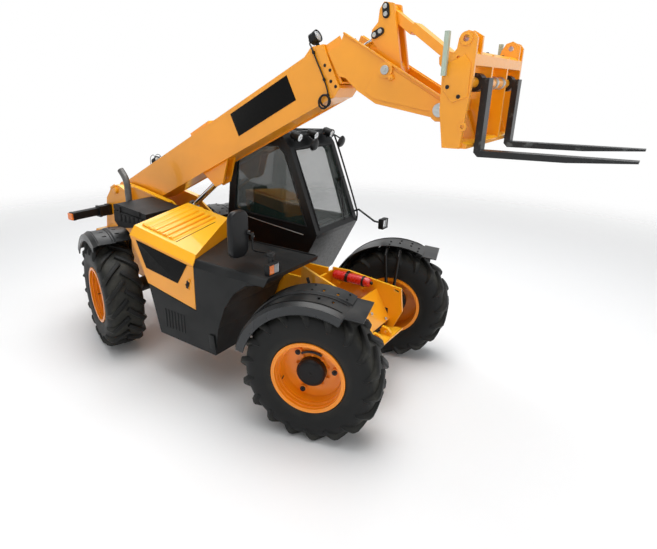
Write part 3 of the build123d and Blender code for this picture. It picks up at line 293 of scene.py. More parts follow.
class Finish:
    """A material and the nodes that make it."""

    def __init__(self, name):
        self.material = bpy.data.materials.new(name)
        self.material.use_nodes = True
        self.tree = self.material.node_tree
        self.tree.nodes.clear()
        self.place = self.node("ShaderNodeTexCoord", output="Object")

    def node(self, kind, settings=None, inputs=None, output=0):
        """Add a node with its settings, then the values or wires of its inputs."""
        node = self.tree.nodes.new(kind)
        for setting, value in (settings or {}).items():
            setattr(node, setting, value)
        for socket, value in (inputs or {}).items():
            if isinstance(value, Wire):
                self.tree.links.new(value.socket, node.inputs[socket])
            else:
                node.inputs[socket].default_value = value
        return Wire(self, node.outputs[output])

    def noise(self, scale, detail=3.0, roughness=0.5, place=None):
        return self.node("ShaderNodeTexNoise", None, {
            "Vector": place or self.place, "Scale": scale, "Detail": detail, "Roughness": roughness})

    def axis(self, name, place=None):
        return self.node("ShaderNodeSeparateXYZ", None, {"Vector": place or self.place}, output=name)

    def waves(self, axis, rate):
        """Waves along an axis from -1 to 1, with their rate in radians per metre."""
        return (self.axis(axis) * rate).maths("SINE")

    def mix(self, factor, first, second):
        """Blend of two colours; 6, 7 and 2 are the node's colour sockets."""
        return self.node("ShaderNodeMix", {"data_type": "RGBA"}, {0: factor, 6: first, 7: second}, output=2)

    def upward(self, low):
        """0 where a face looks sideways or down, 1 where it looks straight up."""
        normal = self.node("ShaderNodeNewGeometry", output="Normal")
        return self.axis("Z", normal).between(low, 1.0)

    def stretched(self, scale):
        """Object coordinates scaled by three factors, for streaks."""
        return self.node("ShaderNodeMapping", None, {"Vector": self.place, "Scale": scale})

    def bump(self, height, strength, distance, edge=0.0):
        """Normal with a bump, over edges that look rounded by a radius."""
        inputs = {"Height": height, "Strength": strength, "Distance": distance}
        if edge:
            inputs["Normal"] = self.node("ShaderNodeBevel", {"samples": 4}, {"Radius": edge})
        return self.node("ShaderNodeBump", None, inputs)

    def surface(self, **inputs):
        """Close the material with a principled surface."""
        named = {name.replace("_", " "): value for name, value in inputs.items()}
        shader = self.node("ShaderNodeBsdfPrincipled", None, named)
        out = self.tree.nodes.new("ShaderNodeOutputMaterial")
        self.tree.links.new(shader.socket, out.inputs["Surface"])
        return self.material


def tone(colour, factor):
    """A colour made lighter or darker."""
    return (*[min(1.0, part * factor) for part in colour[:3]], 1.0)


def solid(colour):
    return (*colour[:3], 1.0)


# ---------------------------------------------------------------- finishes
ROAD_DUST = (0.55, 0.5, 0.42, 1)
MOULD_DUST = (0.32, 0.31, 0.29, 1)
GLASS_DUST = (0.25, 0.27, 0.27, 1)
THREADS = 2600  # radians of the weave's wave per metre


def paint(name, colour, roughness=0.3, dust=0.05, coat=0.5, edge=0.004, sheen=0.5, sky=None):
    """Machine paint: faint orange peel, drifting tone, and dust and a painted highlight on faces that look
    up.
    """
    finish = Finish(name)
    drift = finish.noise(1.7, 4).between(0.3, 0.75)
    fine = finish.noise(38, 3).between(0.35, 0.7)
    body = finish.mix(drift, tone(colour, 0.93), tone(colour, 1.05))
    up = finish.upward(0.3)
    dusty = up * fine * dust
    # painted highlight: faces that look up are blended towards the lighter, yellower sky colour, which stands
    # in for the light falling on them from above
    if sky:
        body = finish.mix(up * 0.75, body, solid(sky))
    peel = finish.noise(260, 2)
    return finish.surface(
        Base_Color=finish.mix(dusty, body, ROAD_DUST),
        Roughness=fine * 0.1 + roughness + dusty,
        Normal=finish.bump(peel, 0.06, 0.002, edge),
        Coat_Weight=coat, Coat_Roughness=0.08, Specular_IOR_Level=sheen)


def moulded(name, colour, roughness=0.5, grain=420, depth=0.25, dust=0.12, edge=0.005, sheen=0.28):
    """Moulded plastic: fine leather grain, patchy sheen and dust that has settled on top."""
    finish = Finish(name)
    cells = finish.node("ShaderNodeTexVoronoi", {"feature": "SMOOTH_F1"},
                        {"Vector": finish.place, "Scale": grain})
    cloud = finish.noise(4, 5).between(0.35, 0.7)
    dusty = finish.upward(0.2) * cloud * dust
    return finish.surface(
        Base_Color=finish.mix(dusty, solid(colour), MOULD_DUST),
        Roughness=cloud * 0.12 + roughness,
        Normal=finish.bump(cells, depth, 0.0006, edge),
        Specular_IOR_Level=sheen)


def rubber(name, colour, dust_colour):
    """Tyre rubber: fine pitting, scuffed tread tops and a ring of dust where the attribute says."""
    finish = Finish(name)
    dust = finish.node("ShaderNodeAttribute", {"attribute_name": "dust"}, output="Fac")
    cloud = finish.noise(9, 5, 0.6)
    pits = finish.noise(240, 4, 0.65)
    amount = (cloud.between(0.3, 0.75) * 0.6 + 0.35) * dust
    return finish.surface(
        Base_Color=finish.mix(amount, solid(colour), solid(dust_colour)),
        Roughness=cloud * 0.16 + 0.46,
        Normal=finish.bump(pits + finish.noise(36, 3) * 1.4, 0.3, 0.0016),
        Specular_IOR_Level=0.22)


def metal(name, colour, roughness, scratch, wear, metallic=1.0):
    """Bare or plated metal: brushed scratches and patches of duller skin."""
    finish = Finish(name)
    hair = finish.noise(3, 4, 0.6, finish.stretched((scratch, scratch, scratch * 0.1)))
    patch = finish.noise(6, 5).between(0.42, 0.72)
    return finish.surface(
        Base_Color=finish.mix(patch * wear, solid(colour), tone(colour, 0.5)),
        Metallic=metallic,
        Roughness=hair * 0.12 + patch * wear * 0.6 + roughness,
        Normal=finish.bump(hair, 0.12, 0.0008, 0.003))


def worn_steel(name, colour, bare):
    """Dark-coated steel that has been rubbed through to metal in streaks."""
    finish = Finish(name)
    streak = finish.noise(2.2, 6, 0.62, finish.stretched((5, 40, 5))).between(0.56, 0.7)
    skin = finish.noise(70, 4)
    return finish.surface(
        Base_Color=finish.mix(streak * 0.7, solid(colour), solid(bare)),
        Metallic=streak * 0.7 + 0.15,
        Roughness=skin * 0.2 + 0.3,
        Normal=finish.bump(skin - streak * 0.5, 0.2, 0.0012, 0.004))


def pane(name, colour, alpha, side_y, side_alpha):
    """Tinted glass with a faint haze of dust; panes on the right of side_y hide more by side_alpha."""
    finish = Finish(name)
    haze = finish.noise(3, 5).between(0.4, 0.8)
    hides = haze * 0.04 + alpha
    left = finish.axis("Y").between(side_y - 0.005, side_y + 0.005)
    return finish.surface(
        Base_Color=finish.mix(haze * 0.2, solid(colour), GLASS_DUST),
        Roughness=haze * 0.06 + 0.03,
        Alpha=(1 - left) * side_alpha + hides,
        Coat_Weight=0.7, Coat_Roughness=0.02, Specular_IOR_Level=0.7)


def ribbed_lens(name, colour, alpha):
    """Lamp lens with upright flutes pressed into it."""
    finish = Finish(name)
    flutes = finish.waves("Y", 520)
    return finish.surface(
        Base_Color=finish.mix(finish.noise(30, 2).between(0.3, 0.8) * 0.2, solid(colour), tone(colour, 0.7)),
        Roughness=finish.noise(12, 2) * 0.05 + 0.05,
        Alpha=finish.noise(8, 2) * 0.05 + alpha,
        Normal=finish.bump(flutes, 0.35, 0.002),
        Coat_Weight=0.8, Coat_Roughness=0.03)


def woven(name, colour, fleck):
    """Seat cloth: a plain weave of warp and weft with flecks."""
    finish = Finish(name)
    warp, weft, rise = (finish.waves(axis, THREADS) * 0.5 + 0.5 for axis in "XYZ")
    weave = warp * weft + weft * rise
    flecks = finish.noise(330, 2).between(0.6, 0.7)
    shade = finish.mix(flecks * 0.5, solid(colour), solid(fleck))
    return finish.surface(
        Base_Color=finish.mix(finish.noise(7, 4) * 0.3, shade, tone(colour, 0.6)),
        Roughness=weave * 0.1 + 0.8,
        Normal=finish.bump(weave + finish.noise(90, 3), 0.5, 0.0008),
        Sheen_Weight=0.25, Sheen_Roughness=0.4)


def floor_finish(name, colour):
    """Satin studio floor that fades into the white sky some metres from the machine."""
    finish = Finish(name)
    across, along = finish.axis("X"), finish.axis("Y")
    away = (across * across + along * along).between(20, 150)
    return finish.surface(
        Base_Color=solid(colour),
        Roughness=0.3,
        Alpha=1 - away,
        Specular_IOR_Level=0.25)


FINISHES = {}


def make_finishes(look):
    """Every finish by the name of its slot, from the colours of the dressing's settings."""
    FINISHES.update(
        # the machine paint's second colour is a painted highlight on faces that look up
        machine_paint=paint("machine_paint", look.machine_colour, sky=look.painted_top_light_colour),
        wheel_paint=paint("wheel_paint", look.wheel_colour, dust=0.0, coat=0.3, edge=0.0),
        red_paint=paint("bottle_paint", look.bottle_colour, roughness=0.25, dust=0.02, coat=0.7, edge=0.003),
        cab_black=paint("cab_black", (0.003, 0.0034, 0.0038), roughness=0.34, dust=0.0, coat=0.0, edge=0.0,
                        sheen=0.3),
        bare_panel=paint("bare_panel", (0.002, 0.002, 0.002), roughness=0.45, dust=0.0, coat=0.0, edge=0.0,
                         sheen=0.12),
        black_plastic=moulded("black_plastic", look.plastic_colour, roughness=0.44, depth=0.2, dust=0.03),
        guard_plastic=moulded("guard_plastic", (0.008, 0.0088, 0.0095), roughness=0.3, grain=300, depth=0.15,
                              sheen=0.4),
        guard_lip=moulded("guard_lip", (0.022, 0.024, 0.026), roughness=0.26, grain=260, depth=0.12, dust=0.2,
                          sheen=0.5),
        soft_plastic=moulded("soft_plastic", (0.005, 0.005, 0.0055), grain=500, dust=0.03),
        hose_rubber=moulded("hose_rubber", (0.010, 0.010, 0.011), roughness=0.48, grain=700, depth=0.2,
                            dust=0.05),
        black_steel=paint("black_steel", (0.004, 0.0045, 0.005), roughness=0.36, dust=0.01, coat=0.1,
                          edge=0.003, sheen=0.35),
        tyre=rubber("tyre_rubber", look.tyre_colour, (0.045, 0.044, 0.036)),
        chrome=metal("chrome", (0.78, 0.79, 0.80), roughness=0.07, scratch=60, wear=0.12),
        zinc_plate=metal("zinc_plate", (0.55, 0.57, 0.56), roughness=0.3, scratch=80, wear=0.35),
        exhaust_steel=metal("exhaust_steel", (0.17, 0.165, 0.16), roughness=0.38, scratch=50, wear=0.5,
                            metallic=0.9),
        reflector=metal("reflector", (0.86, 0.87, 0.88), roughness=0.06, scratch=40, wear=0.05),
        fork_steel=worn_steel("fork_steel", (0.008, 0.009, 0.010), bare=(0.16, 0.17, 0.17)),
        bar_paint=paint("bar_paint", (0.42, 0.50, 0.40), roughness=0.4, coat=0.2, edge=0.002),
        tinted_glass=pane("tinted_glass", (0.016, 0.030, 0.024), look.glass_tint, side_y=0.275,
                          side_alpha=0.5),
        mirror_shell=moulded("mirror_shell", (0.008, 0.0085, 0.0095), roughness=0.3, grain=380, depth=0.12,
                             dust=0.02),
        clear_lens=ribbed_lens("clear_lens", (0.85, 0.88, 0.9), alpha=0.35),
        amber_lens=ribbed_lens("amber_lens", (0.95, 0.22, 0.015), alpha=0.88),
        red_lens=ribbed_lens("red_lens", (0.75, 0.02, 0.015), alpha=0.9),
        seat_cloth=woven("seat_cloth", (0.020, 0.021, 0.024), fleck=(0.10, 0.10, 0.11)),
    )


# finish of the pieces that stay as they are in the CAD, and the nodes, or starts of their names, that have it
NODE_FINISHES = {
    "machine_paint": ["chassis_", "bonnet", "outer_boom", "inner_boom", "tilt_lever", "tilt_link",
                      "carriage"],
    "black_steel": ["hub_", "knuckle_", "front_axle", "rear_axle", "engine_block", "lift_cylinder",
                    "tilt_cylinder", "side_tank"],
    "black_plastic": ["pod_cowl", "boom_lamps", "lamps", "mirrors"],
    "soft_plastic": ["air_box", "seat_base", "dash_column"],
    "cab_black": ["cab_frame", "door_frame"],
    "tinted_glass": ["cab_glass", "door_glass"],
    "chrome": ["lift_rod", "tilt_rod"],
    "wheel_paint": ["rim_"],
    "tyre": ["tyre_"],
    "guard_plastic": ["guard_"],
    "red_paint": ["gas_bottle"],
    "bar_paint": ["carriage_bars"],
    "fork_steel": ["fork_"],
    "seat_cloth": ["seat"],
    "clear_lens": ["lens_clear"],
    "amber_lens": ["lens_amber"],
}


def finish_of(node):
    """The finish of a CAD node, by its longest matching name."""
    matches = [(len(start), finish) for finish, starts in NODE_FINISHES.items()
               for start in starts if node.startswith(start)]
    return max(matches)[1]


# ---------------------------------------------------------------- settings
def colour_setting(name, description, default):
    return bpy.props.FloatVectorProperty(
        name=name, description=description, subtype="COLOR", size=3, min=0, max=1, default=default)


class TelehandlerLook(bpy.types.PropertyGroup):
    """Colours and sizes that a user would change."""

    machine_colour: colour_setting(
        "Machine paint", "Colour of the boom, bonnet and frame", (0.90, 0.34, 0.002))
    # painted highlight: a lighter, yellower machine paint on faces that look up, standing in for the light
    # falling on them from above; the machine has one paint
    painted_top_light_colour: colour_setting(
        "Paint facing up", "Machine paint where a face looks at the sky", (0.92, 0.52, 0.004))
    wheel_colour: colour_setting("Wheel paint", "Colour of the rims", (0.92, 0.27, 0.002))
    bottle_colour: colour_setting("Bottle paint", "Colour of the gas bottle", (0.62, 0.012, 0.008))
    plastic_colour: colour_setting("Black plastic", "Colour of the moulded covers", (0.006, 0.0068, 0.0072))
    tyre_colour: colour_setting("Tyre rubber", "Colour of the clean rubber", (0.0075, 0.008, 0.0085))
    glass_tint: bpy.props.FloatProperty(
        name="Glass tint", description="How much the cab's glass hides", subtype="FACTOR",
        min=0.1, max=1, default=0.24)
    lug_count: bpy.props.IntProperty(
        name="Tread bars", description="Bars on each side of a tyre's tread", min=12, max=24, default=18)
    bolt_size: bpy.props.FloatProperty(
        name="Bolt size", description="Radius of the head of a bolt on the frame's nose", subtype="DISTANCE",
        unit="LENGTH", min=0.005, max=0.03, default=0.012)
    key_light: bpy.props.FloatProperty(
        name="Key light", description="Light that each soft box gives a share of", subtype="POWER",
        unit="POWER", min=0, max=20000, default=420)


# ---------------------------------------------------------------- operators
# soft box: name, place, aim, size, share of the key light
SOFT_BOXES = [
    ("key_box", (0.5, -5.0, 9.0), (0.3, 0, 1.2), 5.0, 0.35),
    ("top_box", (0.5, 1.0, 10.0), (0.3, 0, 1.0), 8.0, 2.3),
    ("front_box", (9.0, -2.5, 3.0), (1.0, 0, 1.5), 4.0, 0.2),
    ("rear_box", (-7.0, 4.0, 7.0), (0, 0, 1.5), 4.0, 0.3),
]
# the sky's colour at two heights: white near the horizon, grey overhead
SKY = [(0.16, (1, 1, 1, 1)), (0.42, (0.30, 0.31, 0.32, 1))]
CAMERA_PLACE = (4.871, -4.090, 2.922)
CAMERA_ANGLES = (126.305, -19.828, 0.228)  # degrees: yaw from +X, pitch up, roll
CAMERA_LENS = {"sensor_width": 36, "lens": 27.346, "shift_x": 0.0612, "shift_y": -0.0103}


def aimed(place, aim):
    """Place of a lamp or camera at a point, looking along a direction."""
    return Matrix.Translation(place) @ Vector(aim).to_track_quat("-Z", "Y").to_matrix().to_4x4()


def soft_box(name, place, aim, size, power):
    """Square area light that looks at a point."""
    lamp = bpy.data.lights.new(name, "AREA")
    lamp.shape = "SQUARE"
    lamp.size = size
    lamp.energy = power
    box = bpy.data.objects.new(name, lamp)
    bpy.context.scene.collection.objects.link(box)
    box.matrix_world = aimed(place, Vector(aim) - Vector(place))


def sky():
    """World that is brightest around the horizon."""
    world = bpy.data.worlds.new("studio")
    world.use_nodes = True
    nodes, links = world.node_tree.nodes, world.node_tree.links
    height = nodes.new("ShaderNodeSeparateXYZ")
    links.new(nodes.new("ShaderNodeTexCoord").outputs["Generated"], height.inputs[0])
    fade = nodes.new("ShaderNodeValToRGB")
    for stop, (position, colour) in zip(fade.color_ramp.elements, SKY):
        stop.position = position
        stop.color = colour
    links.new(height.outputs["Z"], fade.inputs[0])
    links.new(fade.outputs[0], nodes["Background"].inputs["Color"])
    return world


def corner_camera():
    """Camera at the right front corner, above the bonnet's height."""
    lens = bpy.data.cameras.new("camera")
    for setting, value in CAMERA_LENS.items():
        setattr(lens, setting, value)
    camera = bpy.data.objects.new("camera", lens)
    bpy.context.scene.collection.objects.link(camera)
    yaw, pitch, roll = (math.radians(angle) for angle in CAMERA_ANGLES)
    ahead = (math.cos(yaw) * math.cos(pitch), math.sin(yaw) * math.cos(pitch), math.sin(pitch))
    camera.matrix_world = aimed(MACHINE @ Vector(CAMERA_PLACE), ahead) @ Matrix.Rotation(roll, 4, "Z")
    return camera


class TELEHANDLER_OT_stage(bpy.types.Operator):
    """Add the floor, the soft boxes, the sky and the camera"""

    bl_idname = "telehandler.stage"
    bl_label = "Stage, lights and camera"

    def execute(self, context):
        look = context.scene.telehandler
        nothing_selected()
        bpy.ops.mesh.primitive_plane_add(size=26, location=(0, 0, 0))
        floor = context.object
        floor.name = "studio_floor"
        floor.data.materials.append(floor_finish("studio_floor", (0.9, 0.9, 0.9)))
        for name, place, aim, size, share in SOFT_BOXES:
            soft_box(name, place, aim, size, look.key_light * share)
        context.scene.world = sky()
        context.scene.camera = corner_camera()
        context.scene.view_settings.view_transform = "Standard"
        return {"FINISHED"}


class TELEHANDLER_OT_finishes(bpy.types.Operator):
    """Make the finishes and give them to the parts of the frame"""

    bl_idname = "telehandler.finishes"
    bl_label = "Finishes"

    def execute(self, context):
        make_finishes(context.scene.telehandler)
        for name, node in frame["nodes"].items():
            finish = FINISHES[finish_of(name)]
            if not node.material_slots:
                node.data.materials.append(finish)
            for slot in node.material_slots:
                slot.material = finish
        return {"FINISHED"}


BAR_SKEW = math.radians(42)  # a tread bar's turn out of the axle's direction
BAR_WIDTH = 0.052
BAR_DEPTH = 0.036


def tread_bar():
    """One bar of the tread, from the crown's middle over the right shoulder and down the wall."""
    reach = TYRE_HALF / math.cos(BAR_SKEW)
    crown = TYRE_RADIUS - BAR_DEPTH

    def top(along):
        aside = along * math.sin(BAR_SKEW) + BAR_WIDTH / 2 * math.cos(BAR_SKEW)
        return math.sqrt(TYRE_RADIUS ** 2 - aside ** 2)

    shoulder = reach * 0.78
    profile = [(0.006, crown - 0.03), (0.008, top(0.008)), (-reach * 0.3, top(reach * 0.3)),
               (-reach * 0.55, top(reach * 0.55) + 0.001), (-shoulder, top(shoulder)),
               (-reach * 0.90, top(shoulder) - 0.022), (-reach * 0.985, crown - 0.078),
               (-reach * 0.99, crown - 0.125), (-reach * 0.90, crown - 0.14), (-reach * 0.5, crown - 0.05)]
    bar = slab([(-BAR_WIDTH / 2, y, z) for y, z in profile], (BAR_WIDTH, 0, 0), 0.009, 2)
    return settle(bar, Matrix.Rotation(BAR_SKEW, 4, "Z"))


# rings of dust: share, radius and half width, between the bars' roots and above the rim
DUST_RINGS = [(1, 0.585, 0.022), (0.55, 0.345, 0.012)]


def tyre_mesh(bars):
    """Smooth carcass with its beads and ribs, and a chevron of tread bars."""
    half = [(0.309, 0.166), (0.316, 0.176), (0.330, 0.178), (0.338, 0.186), (0.348, 0.186), (0.353, 0.190),
            (0.40, 0.2035), (0.445, 0.2085), (0.49, 0.2085), (0.525, 0.201), (0.551, 0.186), (0.572, 0.166),
            (0.585, 0.136), (0.591, 0.09), (0.593, 0.03)]
    rings = half + [(radius, -y) for radius, y in reversed(half)]
    carcass = turned(rings + rings[:1], 96)
    right = tread_bar()
    left = settle(twin(right), Matrix.Scale(-1, 4, (0, 1, 0)))
    pitch = FULL_TURN / bars
    right = copies(right, [Matrix.Rotation(step * pitch, 4, "Y") for step in range(bars)])
    left = copies(left, [Matrix.Rotation((step + 0.5) * pitch, 4, "Y") for step in range(bars)])
    tyre = join([carcass, right, left])
    dust = tyre.data.attributes.new("dust", "FLOAT", "POINT")
    for index, vertex in enumerate(tyre.data.vertices):
        radius = math.hypot(vertex.co.x, vertex.co.z)
        rings = sum(most * math.exp(-((radius - middle) / spread) ** 2)
                    for most, middle, spread in DUST_RINGS)
        dust.data[index].value = min(1.0, 0.12 + rings)
    return tyre


class TELEHANDLER_OT_tyres(bpy.types.Operator):
    """Replace the plain tyres with moulded ones"""

    bl_idname = "telehandler.tyres"
    bl_label = "Tyres"

    def execute(self, context):
        pattern = tyre_mesh(context.scene.telehandler.lug_count)
        for corner in CORNERS:
            fit(twin(pattern), "moulded_tyre_" + corner, "wheel_" + corner, "tyre", wheel_place(corner),
                replaces=["tyre_" + corner])
        bpy.data.objects.remove(pattern)
        return {"FINISHED"}


def bead(radius, y, size=0.004):
    """Ring of round section about the Y axis."""
    points = [(radius + size * math.cos(step * math.pi / 4), y + size * math.sin(step * math.pi / 4))
              for step in range(8)]
    return turned(points + points[:1], 64)


def swept(profile, low, high, steps=40):
    """Band about the Y axis from a closed (radius, y) profile, between two angles in degrees above +X."""
    piece = walk([(radius, y, 0) for radius, y in profile])
    bpy.ops.mesh.edge_face_add()
    bpy.ops.mesh.spin(steps=steps, angle=math.radians(high - low), center=(0, 0, 0), axis=(0, 1, 0))
    bpy.ops.object.mode_set(mode="OBJECT")
    return settle(normals_out(piece), Matrix.Rotation(-math.radians(low), 4, "Y"))


def polar(radius, degrees, y):
    """Point at a radius and an angle above +X, in a wheel's frame."""
    angle = math.radians(degrees)
    return (radius * math.cos(angle), y, radius * math.sin(angle))


NUT_COUNT = 10
CLAMP_ANGLES = (8, 128, 248)
# beads pressed into the rim: radius, place along the axle, size
RIM_BEADS = [(0.2925, -0.160, 0.005), (0.2835, -0.122, 0.0045), (0.2735, -0.078, 0.0045),
             (0.2700, -0.052, 0.004), (0.323, -0.186, 0.007)]


class TELEHANDLER_OT_wheel_fittings(bpy.types.Operator):
    """Add hub caps, wheel nuts, clamps, barrel rings and valves to the rims"""

    bl_idname = "telehandler.wheel_fittings"
    bl_label = "Wheel fittings"

    def execute(self, context):
        for corner in CORNERS:
            place = wheel_place(corner)
            body = "wheel_" + corner
            cap = turned([(0, -0.1125), (0.096, -0.1125), (0.104, -0.1105), (0.1125, -0.104),
                          (0.1125, -0.098), (0, -0.098)], 64)
            plug = rod((0, -0.116, 0), (0, -0.111, 0), 0.016, 6, 0.001)
            fit(join([cap, plug]), "hub_cap_" + corner, body, "black_plastic", place, finish="soft_plastic")
            nuts = [facing(polar(0.147, (step + 0.5) * 360 / NUT_COUNT, -0.0445), (0, -1, 0))
                    for step in range(NUT_COUNT)]
            fit(copies(bolt(0.0105), nuts), "wheel_nuts_" + corner, body, "wheel_paint", place)
            rings = [bead(*ring) for ring in RIM_BEADS]
            # each pad is a boss, and the three share one upright web above the hub
            pads = [join([rod(polar(0.208, angle, -0.058), polar(0.208, angle, -0.026), 0.034, 20, 0.006),
                          block((-0.014, -0.052, 0.2), (0.014, -0.026, 0.258), 0.004)])
                    for angle in CLAMP_ANGLES]
            fit(join(rings + pads), "barrel_rings_" + corner, body, "wheel_paint", place)
            clamps = []
            for angle in CLAMP_ANGLES:
                # washer and nut: ends along the axle, then radius, sides and rounding
                for outer, inner, *size in ((-0.072, -0.056, 0.024, 20, 0.003),
                                            (-0.086, -0.070, 0.0135, 6, 0.0015)):
                    clamps.append(rod(polar(0.206, angle, outer), polar(0.206, angle, inner), *size))
            valve = rod(polar(0.268, 200, -0.075), polar(0.262, 200, -0.125), 0.005, 12, 0.001)
            arc = swept([(0.172, -0.060), (0.190, -0.060), (0.190, -0.046), (0.172, -0.046), (0.172, -0.060)],
                        62, 122, 16)
            fit(join(clamps + [valve, arc]), "rim_clamps_" + corner, body, "black_steel", place)
        return {"FINISHED"}


GUARD_EDGE = -TYRE_HALF - 0.005  # Y of a mudguard's outer edge
# rolled lip: (height over the guard's radius, Y from its outer edge)
LIP_PROFILE = [(-0.022, -0.004), (-0.086, -0.004), (-0.094, -0.009), (-0.099, -0.001), (-0.094, 0.008),
               (-0.086, 0), (-0.022, 0.001), (-0.022, -0.004)]


class TELEHANDLER_OT_guards(bpy.types.Operator):
    """Add the rolled lips, seams and bolts of the mudguards"""

    bl_idname = "telehandler.guards"
    bl_label = "Mudguards"

    def execute(self, context):
        for corner in CORNERS:
            place = wheel_place(corner)
            body = "knuckle_" + corner
            # radius over the tyre, and the angles above +X between which the arc runs
            gap, low, high = (0.062, 64, 166) if corner.startswith("front") else (0.117, 66, 146)
            radius = TYRE_RADIUS + gap
            roll = [(radius + rise, GUARD_EDGE + out) for rise, out in LIP_PROFILE]
            fit(swept(roll, low + 0.5, high - 0.5), "guard_lip_" + corner, body, "black_plastic", place,
                finish="guard_lip")
            seams = [swept([(radius + 0.0005, y), (radius + 0.005, y), (radius + 0.005, y + 0.007),
                            (radius + 0.0005, y + 0.007), (radius + 0.0005, y)], low + 3, high - 3)
                     for y in (GUARD_EDGE + 0.056, -0.004)]
            spots = [polar(radius + 0.0155, angle, y) for angle in (low + 5, low + 30, high - 12)
                     for y in (0.06, 0.17)]
            bolts = copies(bolt(0.009), [facing(spot, (spot[0], 0, spot[2])) for spot in spots])
            fit(join(seams + [bolts]), "guard_trim_" + corner, body, "black_plastic", place,
                finish="soft_plastic")
        return {"FINISHED"}


def bonnet_top(x, y):
    """Height of the bonnet's lid, which slopes down forwards and outwards."""
    ahead = (x - 0.64) / 0.92
    outer = 1.585 - 0.150 * ahead
    inner = 1.690 - 0.130 * ahead
    share = (y + 1.015) / 0.753
    return outer + (inner - outer) * share


class TELEHANDLER_OT_bonnet(bpy.types.Operator):
    """Add the bonnet's rounded ribs, bare side panel, latch and seal"""

    bl_idname = "telehandler.bonnet"
    bl_label = "Bonnet trim"

    def execute(self, context):
        ribs = []
        for index in range(6):
            x = 0.722 + index * 0.082
            outer, inner = [(x, y, bonnet_top(x, y) - 0.004) for y in (-0.965, -0.345)]
            ribs.append(round_edges(rod(outer, inner, 0.030, 20), 0.016, 3, 60))
        fit(join(ribs), "bonnet_ribs", "bonnet", "machine_paint")
        panel = side_plate([(0.742, 1.462), (1.478, 1.348), (1.330, 1.128), (0.868, 1.190)],
                           POD_SIDE - 0.005, POD_SIDE + 0.001, 0.0)
        only(panel)
        modified(panel, "BEVEL", width=0.022, segments=4, affect="VERTICES")
        round_edges(panel, 0.0015, 2)
        fit(panel, "bonnet_side_panel", "bonnet", "black_plastic", finish="bare_panel")
        shut = pipe([(1.215, y, bonnet_top(1.215, y) + 0.001) for y in (-0.97, -0.8, -0.6, -0.42)],
                    0.0035, False)
        latch = [side_plate([(1.452, 1.112), (1.468, 1.190), (1.500, 1.186), (1.484, 1.108)],
                            POD_SIDE - 0.012, POD_SIDE + 0.001, 0.004),
                 rod((1.468, POD_SIDE - 0.02, 1.15), (1.468, POD_SIDE - 0.005, 1.15), 0.011, 20, 0.002)]
        seal = pipe(at_y(POD_SIDE - 0.001, [(0.876, 1.018), (1.2, 0.962), (1.56, 0.902)]), 0.0045, False)
        fit(join([shut, seal] + latch), "bonnet_latch", "bonnet", "black_plastic", finish="soft_plastic")
        return {"FINISHED"}


class TELEHANDLER_OT_pod(bpy.types.Operator):
    """Add the cover, ribs and ledge of the engine pod, the louvres, the exhaust and the sill rail"""

    bl_idname = "telehandler.pod"
    bl_label = "Pod fittings"

    def execute(self, context):
        cover = side_plate([(1.735, 0.555), (1.735, 0.705), (1.800, 0.705), (1.818, 0.555)],
                           POD_SIDE - 0.016, POD_SIDE - 0.004, 0.006)
        ribs = [block((1.10 + 0.045 * step, POD_SIDE - 0.005, 0.60),
                      (1.122 + 0.045 * step, POD_SIDE + 0.002, 0.80), 0.003) for step in range(7)]
        ledge = pipe([(x, -0.273, 1.412) for x in (1.26, 1.8, 2.39)], 0.006, False)
        edge = [(-1.0862, 1.3440), (-1.0240, 1.4062), (-1.0275, 1.4020), (-1.0835, 1.3420)]
        chamfer = slab([(1.262, y, z) for y, z in edge], (1.146, 0, 0))
        fit(join([cover, ledge, chamfer] + ribs), "pod_cover", "chassis", "black_plastic")
        louvres = [block((0.08 + 0.075 * step, -0.806, 1.50), (0.13 + 0.075 * step, -0.797, 1.58), 0.003)
                   for step in range(6)]
        clips = [block((x, -0.812, 1.60), (x + 0.03, -0.796, 1.66), 0.004) for x in (0.10, 0.44)]
        fit(join(louvres + clips), "air_box_louvres", "chassis", "black_plastic", finish="soft_plastic")
        stack = pipe(at_y(-0.55, [(-0.05, 1.56), (-0.05, 1.72), (-0.05, 1.845), (-0.066, 1.925),
                                  (-0.115, 1.985), (-0.15, 2.02)]), 0.0375, resolution=5)
        collar = rod((-0.05, -0.55, 1.565), (-0.05, -0.55, 1.60), 0.045, 32, 0.004)
        fit(join([stack, collar]), "exhaust_stack", "chassis", "black_steel", finish="exhaust_steel")
        rail = pipe([(0.93, 0.212, 1.535), (1.3, 0.205, 1.49), (1.92, 0.2, 1.425)], 0.005, False)
        fit(rail, "sill_rail", "chassis", "zinc_plate")
        return {"FINISHED"}


BOTTLE_AXIS = (0.230, 1.050)  # Y and Z of the lying bottle
# bottle with domed ends: (radius, height over its foot)
BOTTLE_PROFILE = [(0, 0), (0.028, 0.002), (0.043, 0.010), (0.050, 0.026), (0.0505, 0.05), (0.0505, 0.39),
                  (0.050, 0.414), (0.043, 0.430), (0.028, 0.438), (0, 0.44)]


